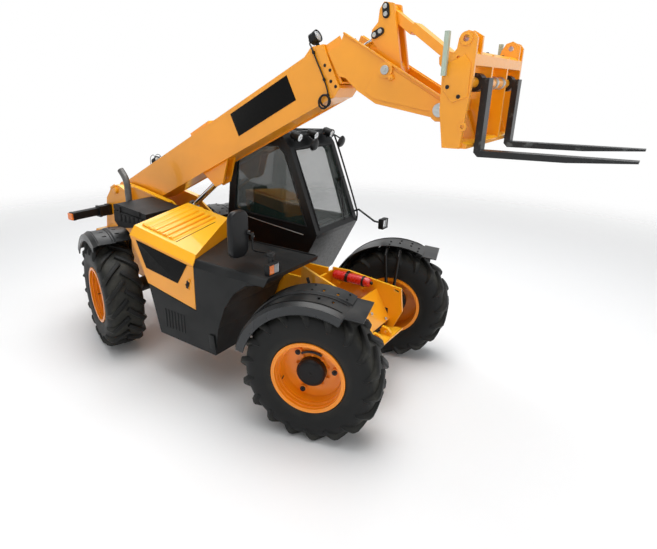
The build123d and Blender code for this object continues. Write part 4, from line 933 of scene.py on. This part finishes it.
class TELEHANDLER_OT_nose(bpy.types.Operator):
    """Replace the gas bottle and add the straps, bolts and strut of the frame's nose"""

    bl_idname = "telehandler.nose"
    bl_label = "Nose and bottle"

    def execute(self, context):
        lie = Matrix.Translation((2.30, *BOTTLE_AXIS)) @ Matrix.Rotation(-math.pi / 2, 4, "Z")
        fit(settle(turned(BOTTLE_PROFILE, 48), lie), "strapped_bottle", "chassis", "red_paint",
            replaces=["gas_bottle"])
        straps = []
        for x, width, grip in ((2.475, 0.034, 0.054), (2.665, 0.022, 0.055)):
            half = width / 2
            band = turned([(grip - 0.004, -half), (grip, -half), (grip, half), (grip - 0.004, half),
                           (grip - 0.004, -half)], 48)
            around = Matrix.Translation((x, *BOTTLE_AXIS)) @ Matrix.Rotation(math.pi / 2, 4, "Z")
            straps.append(settle(band, around))
        straps.append(block((2.462, 0.215, 1.100), (2.488, 0.255, 1.118), 0.003))
        valve = rod((2.738, *BOTTLE_AXIS), (2.762, *BOTTLE_AXIS), 0.016, 16, 0.002)
        strut = rod((2.36, -0.36, 1.20), (2.42, -0.33, 0.98), 0.015, 16)
        fit(join(straps + [valve, strut]), "bottle_straps", "chassis", "black_steel")
        slope = (0.87, 0, 0.50)  # normal of the nose's sloping front plate
        spots = [facing((x, y, z), slope)
                 for x, y, z in ((2.890, 0.0, 0.832), (2.952, 0.2, 0.722), (2.952, -0.2, 0.722))]
        spots += [facing((x, side * 0.3115, z), (0, side, 0)) for side in (-1, 1)
                  for x, z in ((2.31, 1.02), (2.31, 0.72), (2.56, 0.86), (2.94, 0.86), (3.01, 0.74))]
        bolts = copies(bolt(context.scene.telehandler.bolt_size), spots)
        fit(bolts, "nose_bolts", "chassis", "zinc_plate")
        return {"FINISHED"}


def stadium(length, width, steps=8):
    """Points of a slot outline in the XZ plane, centred on the origin."""
    half, radius = (length - width) / 2, width / 2
    points = []
    for centre, start in ((half, -90), (-half, 90)):
        for step in range(steps + 1):
            angle = math.radians(start + 180 * step / steps)
            points.append((centre + radius * math.cos(angle), radius * math.sin(angle)))
    return points


def boom_lamp(u, y, v, radius):
    """Lens and bowl of a round lamp that looks along the boom."""
    turn = Matrix.Translation((u, y, v)) @ Matrix.Rotation(-math.pi / 2, 4, "Z")
    lens = [(0, 0.045), (0.5, 0.043), (0.86, 0.036), (0.93, 0.031), (0.93, 0.026), (0, 0.026)]
    bowl = [(0, -0.062), (0.4, -0.058), (0.8, -0.036), (1.02, 0.0), (1.06, 0.030), (1.06, 0.040),
            (0.96, 0.040), (0.94, 0.020), (0, 0.020)]
    return [settle(turned([(radius * share, along) for share, along in profile], 40), turn)
            for profile in (lens, bowl)]


# places on the boom are (u, y, v): u along it from its pivot, v square to it and up
WORK_LAMP = (3.3, -0.07, 0.178, 0.052)
REAR_LAMP = (0.6, 0.0, 0.12, 0.046)


class TELEHANDLER_OT_boom(bpy.types.Operator):
    """Add the bare panels, lamp glass, cable, hose loops and bolts of the outer boom"""

    bl_idname = "telehandler.boom"
    bl_label = "Outer boom trim"

    def execute(self, context):
        panels = []
        for side in (-1, 1):
            low, high = sorted((side * (BOOM_HALF - 0.001), side * (BOOM_HALF + 0.004)))
            panels.append(side_plate([(2.14, 0.018), (2.94, 0.018), (2.94, -0.222), (2.14, -0.222)],
                                     low, high, 0.0015))
        fit(join(panels), "boom_panels", "outer_boom", "black_plastic", BOOM, finish="bare_panel")
        work_lens, work_bowl = boom_lamp(*WORK_LAMP)
        rear_lens, rear_bowl = boom_lamp(*REAR_LAMP)
        fit(join([work_lens, rear_lens]), "boom_lamp_glass", "outer_boom", "clear_lens", BOOM)
        guard = [pipe([(0.64, y, 0.05), (0.66, y, 0.12), (0.655, y * 0.7, 0.185), (0.60, y * 0.6, 0.20),
                       (0.545, y * 0.7, 0.17), (0.53, y, 0.05)], 0.0035) for y in (-0.055, 0.055)]
        guard += [pipe([(0.657, y, z) for y in (-0.05, 0, 0.05)], 0.0035, False) for z in (0.10, 0.15)]
        fit(join([work_bowl, rear_bowl] + guard), "boom_lamp_bowls", "outer_boom", "black_plastic", BOOM)
        wall = -BOOM_HALF - 0.011
        cable = [pipe([(3.255, -0.07, 0.19), (3.235, -0.09, 0.15), (3.27, -0.135, 0.118),
                       (3.285, wall, 0.085), (3.288, wall, 0.0), (3.292, wall, -0.15),
                       (3.290, wall - 0.001, -0.30), (3.27, wall - 0.004, -0.37)], 0.0065)]
        # hose loops: radius, lean away from the wall, shift along the boom
        for radius, lean, shift in ((0.058, 0.012, 0.0), (0.049, -0.014, 0.016)):
            turns = [(math.cos(step * math.pi / 6), math.sin(step * math.pi / 6)) for step in range(13)]
            cable.append(pipe([(3.215 + shift + radius * cosine, wall - 0.006 + lean * sine,
                                -0.372 + radius * sine) for cosine, sine in turns], 0.0085))
        fit(join(cable), "lamp_cable", "outer_boom", "black_plastic", BOOM, finish="hose_rubber")
        clips = [block((u, -BOOM_HALF - 0.022, v), (u + 0.02, -BOOM_HALF + 0.001, v + 0.026), 0.003)
                 for u, v in ((3.278, 0.03), (3.282, -0.22), (3.262, -0.352))]
        spots = [facing((u, side * (BOOM_HALF + 0.007), v), (0, side, 0)) for side in (-1, 1)
                 for u, v in ((3.345, -0.105), (3.375, -0.165), (3.345, -0.25), (3.37, -0.31))]
        spots += [facing((u, y, 0.0605), (0, 0, 1)) for u in (0.75, 0.95) for y in (-0.1, 0.1)]
        bolts = copies(bolt(0.0105), spots)
        fit(join(clips + [bolts]), "boom_clips", "outer_boom", "black_steel", BOOM)
        ends = []
        for side in (-1, 1):
            ends.append(rod((0, side * 0.305, 0), (0, side * 0.318, 0), 0.038, 32, 0.004))
            low, high = sorted((side * 0.31, side * 0.32))
            ends.append(block((-0.055, low, 0.038), (0.055, high, 0.07), 0.003))
        fit(join(ends), "boom_pivot_ends", "chassis", "machine_paint", BOOM)
        return {"FINISHED"}


class TELEHANDLER_OT_lever(bpy.types.Operator):
    """Add the keeper plates and pins of the tilt lever and the boom head"""

    bl_idname = "telehandler.lever"
    bl_label = "Lever and head pins"

    def execute(self, context):
        keepers, pins = [], []
        # keeper plates over the lever's two pins: u, v and turn in degrees
        for u, v, turn in ((3.981, 0.017, 70), (3.853, -0.100, 0)):
            place = Matrix.Translation((u, 0, v)) @ Matrix.Rotation(-math.radians(turn), 4, "Y")
            plate = side_plate(stadium(0.118, 0.058), -0.098, -0.081, 0.004)
            keepers.append(mirrored(settle(plate, place)))
            for shift in (-0.028, 0.028):
                end = rod((shift, -0.108, 0), (shift, -0.096, 0), 0.018, 28, 0.003)
                dimple = rod((shift, -0.111, 0), (shift, -0.105, 0), 0.006, 6, 0.001)
                pins.append(mirrored(settle(join([end, dimple]), place)))
        fit(join(keepers), "lever_keepers", "tilt_lever", "black_steel", BOOM)
        fit(join(pins), "lever_pins", "tilt_lever", "zinc_plate", BOOM)
        boss = join([rod((3.843, -0.196, -0.410), (3.843, -0.180, -0.410), 0.036, 32, 0.004),
                     rod((3.843, -0.203, -0.410), (3.843, -0.195, -0.410), 0.017, 6, 0.001)])
        fit(mirrored(boss), "head_pins", "inner_boom", "zinc_plate", BOOM)
        lug = join([block((3.845, -0.190, -0.505), (3.885, -0.164, -0.468), 0.004),
                    rod((3.865, -0.196, -0.487), (3.865, -0.189, -0.487), 0.008, 6, 0.001)])
        rim = pipe([(3.612, -0.1695, 0.028), (4.180, -0.1695, -0.812)], 0.004, False)
        fit(mirrored(join([lug, rim])), "head_lugs", "inner_boom", "machine_paint", BOOM)
        return {"FINISHED"}


# the forks' rear faces and undersides, in the frame of the nose pin
FORK_BACK = 0.356
FORK_FOOT = -0.296


def on_forks(x, y, z):
    """Place counted back from the forks' rear faces, sideways and up from their undersides."""
    return (FORK_BACK - x, y, FORK_FOOT + z)


class TELEHANDLER_OT_carriage(bpy.types.Operator):
    """Add the braces, collars, bolts and hook plates of the fork carriage"""

    bl_idname = "telehandler.carriage"
    bl_label = "Carriage fittings"

    def execute(self, context):
        braces = []
        for side in (-1, 1):
            outer = on_forks(0.11, side * 0.56, 0.12), on_forks(0.13, side * 0.30, 0.34)
            inner = on_forks(0.11, side * 0.26, 0.12), on_forks(0.12, side * 0.10, 0.30)
            braces.append(rod(*outer, 0.016, 16))
            braces.append(rod(*inner, 0.014, 16))
            hook = [(0.03, 0.60), (0.075, 0.66), (0.19, 0.60), (0.20, 0.44), (0.13, 0.36), (0.03, 0.40)]
            low, high = sorted((side * 0.6195, side * 0.6275))
            braces.append(side_plate([(FORK_BACK - x, FORK_FOOT + z) for x, z in hook], low, high, 0.003))
        fit(join(braces), "carriage_braces", "carriage", "machine_paint", NOSE)
        collars = [rod(on_forks(0.055, y, 0.49), on_forks(0.055, y + 0.025, 0.49), 0.047, 28, 0.004)
                   for y in (-0.20, -0.0125, 0.175)]
        # the nose pin's two caps and their bolt heads
        collars += [rod((0, side * 0.218, 0), (0, side * 0.236, 0), 0.052, 32, 0.005) for side in (-1, 1)]
        collars += [rod((0, side * 0.236, 0), (0, side * 0.246, 0), 0.024, 6, 0.003) for side in (-1, 1)]
        fit(join(collars), "carriage_collars", "carriage", "zinc_plate", NOSE)
        spots = [facing(on_forks(x, side * 0.6285, z), (0, side, 0)) for side in (-1, 1)
                 for x, z in ((0.09, 0.40), (0.17, 0.46))]
        spots += [facing(on_forks(0.06, y, 0.681), (0, 0, 1)) for y in (-0.5, -0.2, 0.2, 0.5)]
        fit(copies(bolt(0.010), spots), "carriage_bolts", "carriage", "black_steel", NOSE)
        return {"FINISHED"}


def rounded_box(low, high, width):
    """Soft-cornered box: bevelled, then smoothed by subdivision."""
    return modified(block(low, high, width, 2), "SUBSURF", levels=2, render_levels=2)


def capsule(low, high, corner, width):
    """Box whose four edges along X are rounded widely and the rest by a width."""
    piece = only(block(low, high))
    bpy.ops.object.mode_set(mode="EDIT")
    bpy.ops.mesh.select_mode(type="EDGE")
    bpy.ops.mesh.select_all(action="DESELECT")
    bpy.ops.object.mode_set(mode="OBJECT")
    for edge in piece.data.edges:
        start, end = (piece.data.vertices[index].co for index in edge.vertices)
        edge.select = abs(start.x - end.x) > 0.5 * (high[0] - low[0])
    bpy.ops.object.mode_set(mode="EDIT")
    bpy.ops.mesh.bevel(offset=corner, segments=8)
    # later pieces are drawn point by point, so the select mode goes back
    bpy.ops.mesh.select_mode(type="VERT")
    bpy.ops.object.mode_set(mode="OBJECT")
    return round_edges(piece, width, 4, 40)


class TELEHANDLER_OT_mirrors(bpy.types.Operator):
    """Replace the plain mirrors with moulded housings, glass, arms and clamps"""

    bl_idname = "telehandler.mirrors"
    bl_label = "Mirrors"

    def execute(self, context):
        shell = capsule((1.952, -1.036, 1.485), (2.020, -0.804, 1.915), 0.085, 0.022)
        domes = []
        glasses = [capsule((1.9485, -1.016, 1.505), (1.956, -0.824, 1.895), 0.070, 0.002)]
        tip = Matrix.Rotation(math.radians(18), 4, "Y") @ Matrix.Rotation(-math.pi / 2, 4, "Z")
        for x, y in ((1.80, 0.56), (1.85, 1.04)):
            turn = Matrix.Translation((x, y, 2.34)) @ tip
            dome = turned([(0, 0.034), (0.030, 0.032), (0.055, 0.022), (0.067, 0.006), (0.070, -0.004),
                           (0.066, -0.006), (0.062, 0.0), (0, 0.0)], 40)
            domes.append(settle(dome, turn))
            face = turned([(0, -0.004), (0.040, -0.003), (0.0615, 0.001), (0.0615, 0.004), (0, 0.004)], 40)
            glasses.append(settle(face, turn))
            domes.append(pipe([(x + 0.022, y, 2.352), (x - 0.02, y, 2.39), (1.722, y, 2.424)], 0.008))
        fit(join([shell] + domes), "mirror_shells", "chassis", "black_plastic", finish="mirror_shell",
            replaces=["mirrors"])
        fit(join(glasses), "mirror_glass", "chassis", "chrome", finish="reflector")
        arm = [pipe([(2.010, -0.84, 1.70), (2.045, -0.822, 1.697), (2.05, -0.80, 1.66), (2.05, -0.80, 1.57),
                     (2.055, -0.80, 1.532), (2.13, -0.815, 1.538), (2.29, -0.85, 1.56)], 0.009),
               rod((2.050, -0.80, 1.645), (2.050, -0.80, 1.70), 0.016, 20, 0.003),
               rod((2.012, -0.83, 1.70), (2.04, -0.815, 1.70), 0.022, 20, 0.003),
               block((2.283, -0.868, 1.405), (2.327, -0.834, 1.585), 0.006),
               block((2.268, -0.878, 1.535), (2.336, -0.826, 1.575), 0.006),
               block((2.262, -0.90, 1.400), (2.36, -0.81, 1.412), 0.003)]
        fit(join(arm), "mirror_arm", "chassis", "black_steel")
        heads = [((2.31, -0.826, 1.555), (0, 1, 0)), ((2.292, -0.826, 1.555), (0, 1, 0)),
                 ((2.275, -0.89, 1.4125), (0, 0, 1)), ((2.345, -0.82, 1.4125), (0, 0, 1)),
                 ((2.05, -0.783, 1.66), (0, 1, 0))]
        fit(copies(bolt(0.007), [facing(*head) for head in heads]), "mirror_bolts", "chassis", "zinc_plate")
        return {"FINISHED"}


def cluster_frame(low, high):
    """Four bars around the front of a light cluster between two corners: above, below and at its ends."""
    bars = ((low[1] - 0.004, high[1] + 0.004, high[2] - 0.006, high[2] + 0.003),
            (low[1] - 0.004, high[1] + 0.004, low[2] - 0.003, low[2] + 0.006),
            (low[1] - 0.005, low[1] + 0.003, low[2], high[2]),
            (high[1] - 0.003, high[1] + 0.005, low[2], high[2]))
    return [block((low[0], y_low, z_low), (high[0] + 0.010, y_high, z_high), 0.002)
            for y_low, y_high, z_low, z_high in bars]


# spun profiles of a roof lamp: (radius, place along its aim)
LAMP_RING = [(0.040, -0.02), (0.048, -0.02), (0.050, 0.006), (0.046, 0.012), (0.040, 0.008), (0.040, -0.02)]
LAMP_BACK = [(0, -0.125), (0.018, -0.122), (0.038, -0.108), (0.047, -0.085), (0.047, -0.07), (0, -0.07)]
LAMP_BOWL = [(0, 0.001), (0.039, 0.001), (0.041, 0.005), (0.012, 0.003), (0, 0.004)]
LAMP_GLASS = [(0, 0.012), (0.02, 0.011), (0.041, 0.006), (0.041, 0.003), (0, 0.005)]
# corners of the light clusters on the cowl and on the left arm
CLUSTERS = [((2.340, -0.978, 1.402), (2.378, -0.832, 1.502)), ((2.398, 1.036, 1.390), (2.446, 1.154, 1.500))]
# clamps of the rear bar: inner and outer Y, low and high X, low and high Z, rounding
BAR_CLAMPS = [(0.300, 0.345, -0.875, -0.785, 1.345, 1.487, 0.006),
              (0.44, 0.476, -0.877, -0.783, 1.345, 1.487, 0.005),
              (0.79, 0.832, -0.906, -0.804, 1.366, 1.464, 0.006)]


class TELEHANDLER_OT_lamps(bpy.types.Operator):
    """Add reflectors, bezels and lenses to the lamps"""

    bl_idname = "telehandler.lamps"
    bl_label = "Lamps"

    def execute(self, context):
        glass, bowls, shine = [], [], []
        aim = Vector((0, 1, 0)).rotation_difference(Vector((0.09, 0, -0.025))).to_matrix().to_4x4()
        for y in (0.33, 0.64, 0.96):
            turn = Matrix.Translation((1.768, y, 2.4305)) @ aim
            bowls.append(settle(turned(LAMP_RING, 40), turn))
            bowls.append(settle(turned(LAMP_BACK, 32), turn))
            shine.append(settle(turned(LAMP_BOWL, 32), turn))
            glass.append(settle(turned(LAMP_GLASS, 32), turn))
            bowls.append(block((1.70, y - 0.010, 2.385), (1.72, y + 0.010, 2.46), 0.003))
        for low, high in CLUSTERS:
            bowls += cluster_frame(low, high)
        shine.append(rod((2.441, 1.095, 1.446), (2.444, 1.095, 1.446), 0.036, 32, 0.0005))
        fit(join(bowls), "lamp_bezels", "chassis", "black_plastic")
        fit(join(shine), "lamp_reflectors", "chassis", "chrome", finish="reflector")
        fit(join(glass), "roof_lamp_glass", "chassis", "clear_lens")
        clamps = []
        for side in (-1, 1):
            for inner, outer, x_low, x_high, z_low, z_high, width in BAR_CLAMPS:
                low, high = sorted((side * inner, side * outer))
                clamps.append(block((x_low, low, z_low), (x_high, high, z_high), width))
        fit(join(clamps), "rear_bar_clamps", "chassis", "black_steel")
        red = [block((-0.906, low, 1.385), (-0.897, low + 0.12, 1.445), 0.003) for low in (-0.72, 0.60)]
        fit(join(red), "rear_reflectors", "chassis", "amber_lens", finish="red_lens")
        return {"FINISHED"}


# outlines of the cab's panes as (x, z) points
SIDE_PANE = [(0.915, 1.57), (0.992, 2.322), (1.568, 2.342), (1.652, 2.264), (1.945, 1.52), (0.915, 1.57)]
WINDSCREEN = [(1.727, 2.31), (1.941, 1.795), (2.068, 1.475)]
DOOR_PANE = [(1.01, 1.48), (1.01, 2.28), (1.53, 2.30), (1.615, 2.24), (1.89, 1.48), (1.01, 1.48)]


class TELEHANDLER_OT_cab(bpy.types.Operator):
    """Add the seals, wiper, front bar, handles, controls and bolts of the cab"""

    bl_idname = "telehandler.cab"
    bl_label = "Cab fittings"

    def execute(self, context):
        seals = [pipe(at_y(0.2185, SIDE_PANE), 0.008, False)]
        seals += [pipe(at_y(y, WINDSCREEN), 0.008, False) for y in (0.30, 1.02)]
        seals.append(pipe([(1.727, 0.30, 2.31), (1.727, 1.02, 2.31)], 0.008, False))
        fit(join(seals), "cab_seals", "chassis", "cab_black", finish="hose_rubber")
        door_seal = pipe(at_y(1.100, DOOR_PANE), 0.008, False)
        fit(door_seal, "door_seal", "door", "cab_black", finish="hose_rubber")
        wiper = [block((1.885, 0.955, 1.905), (1.925, 1.035, 1.955), 0.008),
                 pipe([(1.905, 0.975, 1.93), (1.935, 0.95, 1.90), (1.99, 0.88, 1.72), (2.045, 0.83, 1.575)],
                      0.006),
                 pipe([(1.912, 0.90, 1.895), (2.000, 0.86, 1.68), (2.078, 0.80, 1.490)], 0.0055, False),
                 pipe([(1.920, 0.995, 1.905), (2.00, 0.955, 1.70), (2.060, 0.925, 1.54)], 0.005)]
        front_bar = pipe(at_y(1.07, [(1.74, 2.405), (1.80, 2.28), (2.075, 1.60), (2.10, 1.50),
                                     (2.085, 1.43)]), 0.010)
        fit(join(wiper + [front_bar]), "wiper", "chassis", "black_steel", finish="soft_plastic")
        handles = [pipe([(1.66, 1.112, 1.42), (1.66, 1.135, 1.42), (1.68, 1.140, 1.43), (1.80, 1.140, 1.43),
                         (1.82, 1.135, 1.42), (1.82, 1.112, 1.42)], 0.009),
                   pipe([(1.06, 1.112, 1.15), (1.06, 1.15, 1.16), (1.06, 1.15, 1.36), (1.06, 1.112, 1.38)],
                        0.009)]
        fit(join(handles), "door_handle", "door", "black_plastic", finish="soft_plastic")
        lever = [pipe(at_y(0.42, [(1.40, 1.27), (1.42, 1.34), (1.43, 1.40)]), 0.010),
                 rounded_box((1.405, 0.395, 1.385), (1.455, 0.445, 1.47), 0.014)]
        knobs = [rod((1.25 + 0.05 * step, 0.95, 1.27), (1.255 + 0.05 * step, 0.95, 1.33), 0.009, 12, 0.003)
                 for step in range(3)]
        rest = rounded_box((1.08, 0.90, 1.36), (1.36, 0.97, 1.42), 0.018)
        panel = rounded_box((1.78, 0.40, 1.40), (1.90, 0.90, 1.46), 0.02)
        fit(join(lever + knobs + [rest, panel]), "cab_controls", "chassis", "black_plastic",
            finish="soft_plastic")
        heads = [(0.88, 1.1), (0.90, 1.9), (1.0, 2.40), (1.6, 2.41), (1.75, 1.0), (1.62, 0.72), (1.05, 0.66)]
        bolts = copies(bolt(0.008), [facing(spot, (0, -1, 0)) for spot in at_y(0.2195, heads)])
        fit(bolts, "cab_bolts", "chassis", "black_steel")
        return {"FINISHED"}


CLOTH = {"use_pressure": True, "uniform_pressure_force": 4, "quality": 4,
         "tension_stiffness": 12, "compression_stiffness": 12}
CLOTH_FRAMES = 20


def stuffed(piece, cap):
    """Swell a closed cushion shape with cloth under pressure; no point moves further than the cap."""
    modified(piece, "REMESH", mode="VOXEL", voxel_size=0.0058)
    only(piece)
    rest = [vertex.co.copy() for vertex in piece.data.vertices]
    cloth = piece.modifiers.new("Cloth", "CLOTH")
    for setting, value in CLOTH.items():
        setattr(cloth.settings, setting, value)
    cloth.settings.effector_weights.gravity = 0
    for step in range(CLOTH_FRAMES):
        bpy.context.scene.frame_set(step + 1)
    bpy.ops.object.modifier_apply(modifier=cloth.name)
    bpy.context.scene.frame_set(1)
    for vertex, start in zip(piece.data.vertices, rest):
        move = vertex.co - start
        if move.length > cap:
            vertex.co = start + move.normalized() * cap
    modified(piece, "SMOOTH", factor=0.5, iterations=4)
    return modified(piece, "SUBSURF", levels=1, render_levels=1)


# side outlines of the seat's cushion and back as (x, z) points
CUSHION = [(1.045, 1.150), (1.040, 1.225), (1.12, 1.218), (1.30, 1.222), (1.405, 1.228), (1.428, 1.20),
           (1.418, 1.150)]
BACKREST = [(1.016, 1.262), (0.980, 1.800), (1.012, 1.818), (1.040, 1.60), (1.062, 1.45), (1.088, 1.275)]
# piping along the top of the cushion and up the back
PIPING = [[(1.05, 1.238), (1.12, 1.236), (1.30, 1.240), (1.40, 1.243)],
          [(1.095, 1.30), (1.076, 1.45), (1.055, 1.60), (1.026, 1.80)]]


class TELEHANDLER_OT_seat(bpy.types.Operator):
    """Replace the plain seat with a stuffed cushion and backrest, their piping and the belt"""

    bl_idname = "telehandler.seat"
    bl_label = "Seat"

    def execute(self, context):
        cushion = side_plate(CUSHION, 0.445, 0.855, 0.022, 3)
        back = side_plate(BACKREST, 0.455, 0.845, 0.020, 3)
        for piece, name, cap in ((cushion, "seat_cushion", 0.016), (back, "seat_back", 0.014)):
            stuffed(piece, cap)
            fit(piece, name, "chassis", "seat_cloth",
                replaces=["seat"] if name == "seat_cushion" else (), smooth=80)
        piping = [pipe(at_y(y, line), 0.0035) for line in PIPING for y in (0.52, 0.78)]
        belt = pipe([(1.06, 0.435, 1.20), (1.05, 0.40, 1.32), (1.02, 0.40, 1.42)], 0.012)
        fit(join(piping + [belt]), "seat_piping", "chassis", "seat_cloth", finish="soft_plastic")
        return {"FINISHED"}


# ram's body, the joint at its base, the slide of its rod, the barrel's length and radius
RAMS = [("lift_barrel", "lift_barrel_swing", "lift_ram_slide", 1.1715, 0.058),
        ("tilt_barrel", "tilt_barrel_swing", "tilt_ram_slide", 0.8075, 0.046)]
RING_LENGTH = 0.018
PORT_PLACE = 0.13  # of the port along the barrel


class TELEHANDLER_OT_hydraulics(bpy.types.Operator):
    """Add a gland ring, two bands and a port to each ram's barrel"""

    bl_idname = "telehandler.hydraulics"
    bl_label = "Ram fittings"

    def execute(self, context):
        for body, joint, slide, reach, radius in RAMS:
            base = Vector(JOINTS[joint]["pos_m"])
            way = Vector(JOINTS[slide]["axis"])
            aim = Vector((0, 1, 0)).rotation_difference(way).to_matrix().to_4x4()
            pieces = []
            # ring: start along the barrel, inner and outer radius
            for start, inner, outer in ((reach + 0.004, radius - 0.014, radius + 0.0085),
                                        (reach * 0.35, radius - 0.002, radius + 0.004),
                                        (reach * 0.7, radius - 0.002, radius + 0.004)):
                ring = turned([(inner, 0), (outer, 0), (outer, RING_LENGTH), (inner, RING_LENGTH),
                               (inner, 0)], 40)
                pieces.append(settle(ring, Matrix.Translation(base + way * start) @ aim))
            port = base + way * PORT_PLACE
            pieces.append(rod(port - Vector((0, radius * 0.4, 0)), port - Vector((0, radius + 0.022, 0)),
                              0.014, 6, 0.002))
            fit(join(pieces), body + "_rings", body, "zinc_plate", Matrix.Identity(4))
        return {"FINISHED"}


STEPS = [
    TELEHANDLER_OT_finishes,
    TELEHANDLER_OT_stage,
    TELEHANDLER_OT_tyres,
    TELEHANDLER_OT_wheel_fittings,
    TELEHANDLER_OT_guards,
    TELEHANDLER_OT_bonnet,
    TELEHANDLER_OT_pod,
    TELEHANDLER_OT_nose,
    TELEHANDLER_OT_boom,
    TELEHANDLER_OT_lever,
    TELEHANDLER_OT_carriage,
    TELEHANDLER_OT_mirrors,
    TELEHANDLER_OT_lamps,
    TELEHANDLER_OT_cab,
    TELEHANDLER_OT_seat,
    TELEHANDLER_OT_hydraulics,
]


# ---------------------------------------------------------------- panel and registration
class TELEHANDLER_PT_panel(bpy.types.Panel):
    """The dressing's settings and steps"""

    bl_idname = "TELEHANDLER_PT_panel"
    bl_label = "Telehandler"
    bl_space_type = "VIEW_3D"
    bl_region_type = "UI"
    bl_category = "Telehandler"

    def draw(self, context):
        look = context.scene.telehandler
        for setting in TelehandlerLook.__annotations__:
            self.layout.prop(look, setting)
        for step in STEPS:
            self.layout.operator(step.bl_idname)


CLASSES = [TelehandlerLook, *STEPS, TELEHANDLER_PT_panel]


def register():
    for item in CLASSES:
        bpy.utils.register_class(item)
    bpy.types.Scene.telehandler = bpy.props.PointerProperty(type=TelehandlerLook)


def unregister():
    del bpy.types.Scene.telehandler
    for item in reversed(CLASSES):
        bpy.utils.unregister_class(item)


def main():
    register()
    for step in STEPS:
        group, name = step.bl_idname.split(".")
        getattr(getattr(bpy.ops, group), name)()


if __name__ == "__main__":
    main()
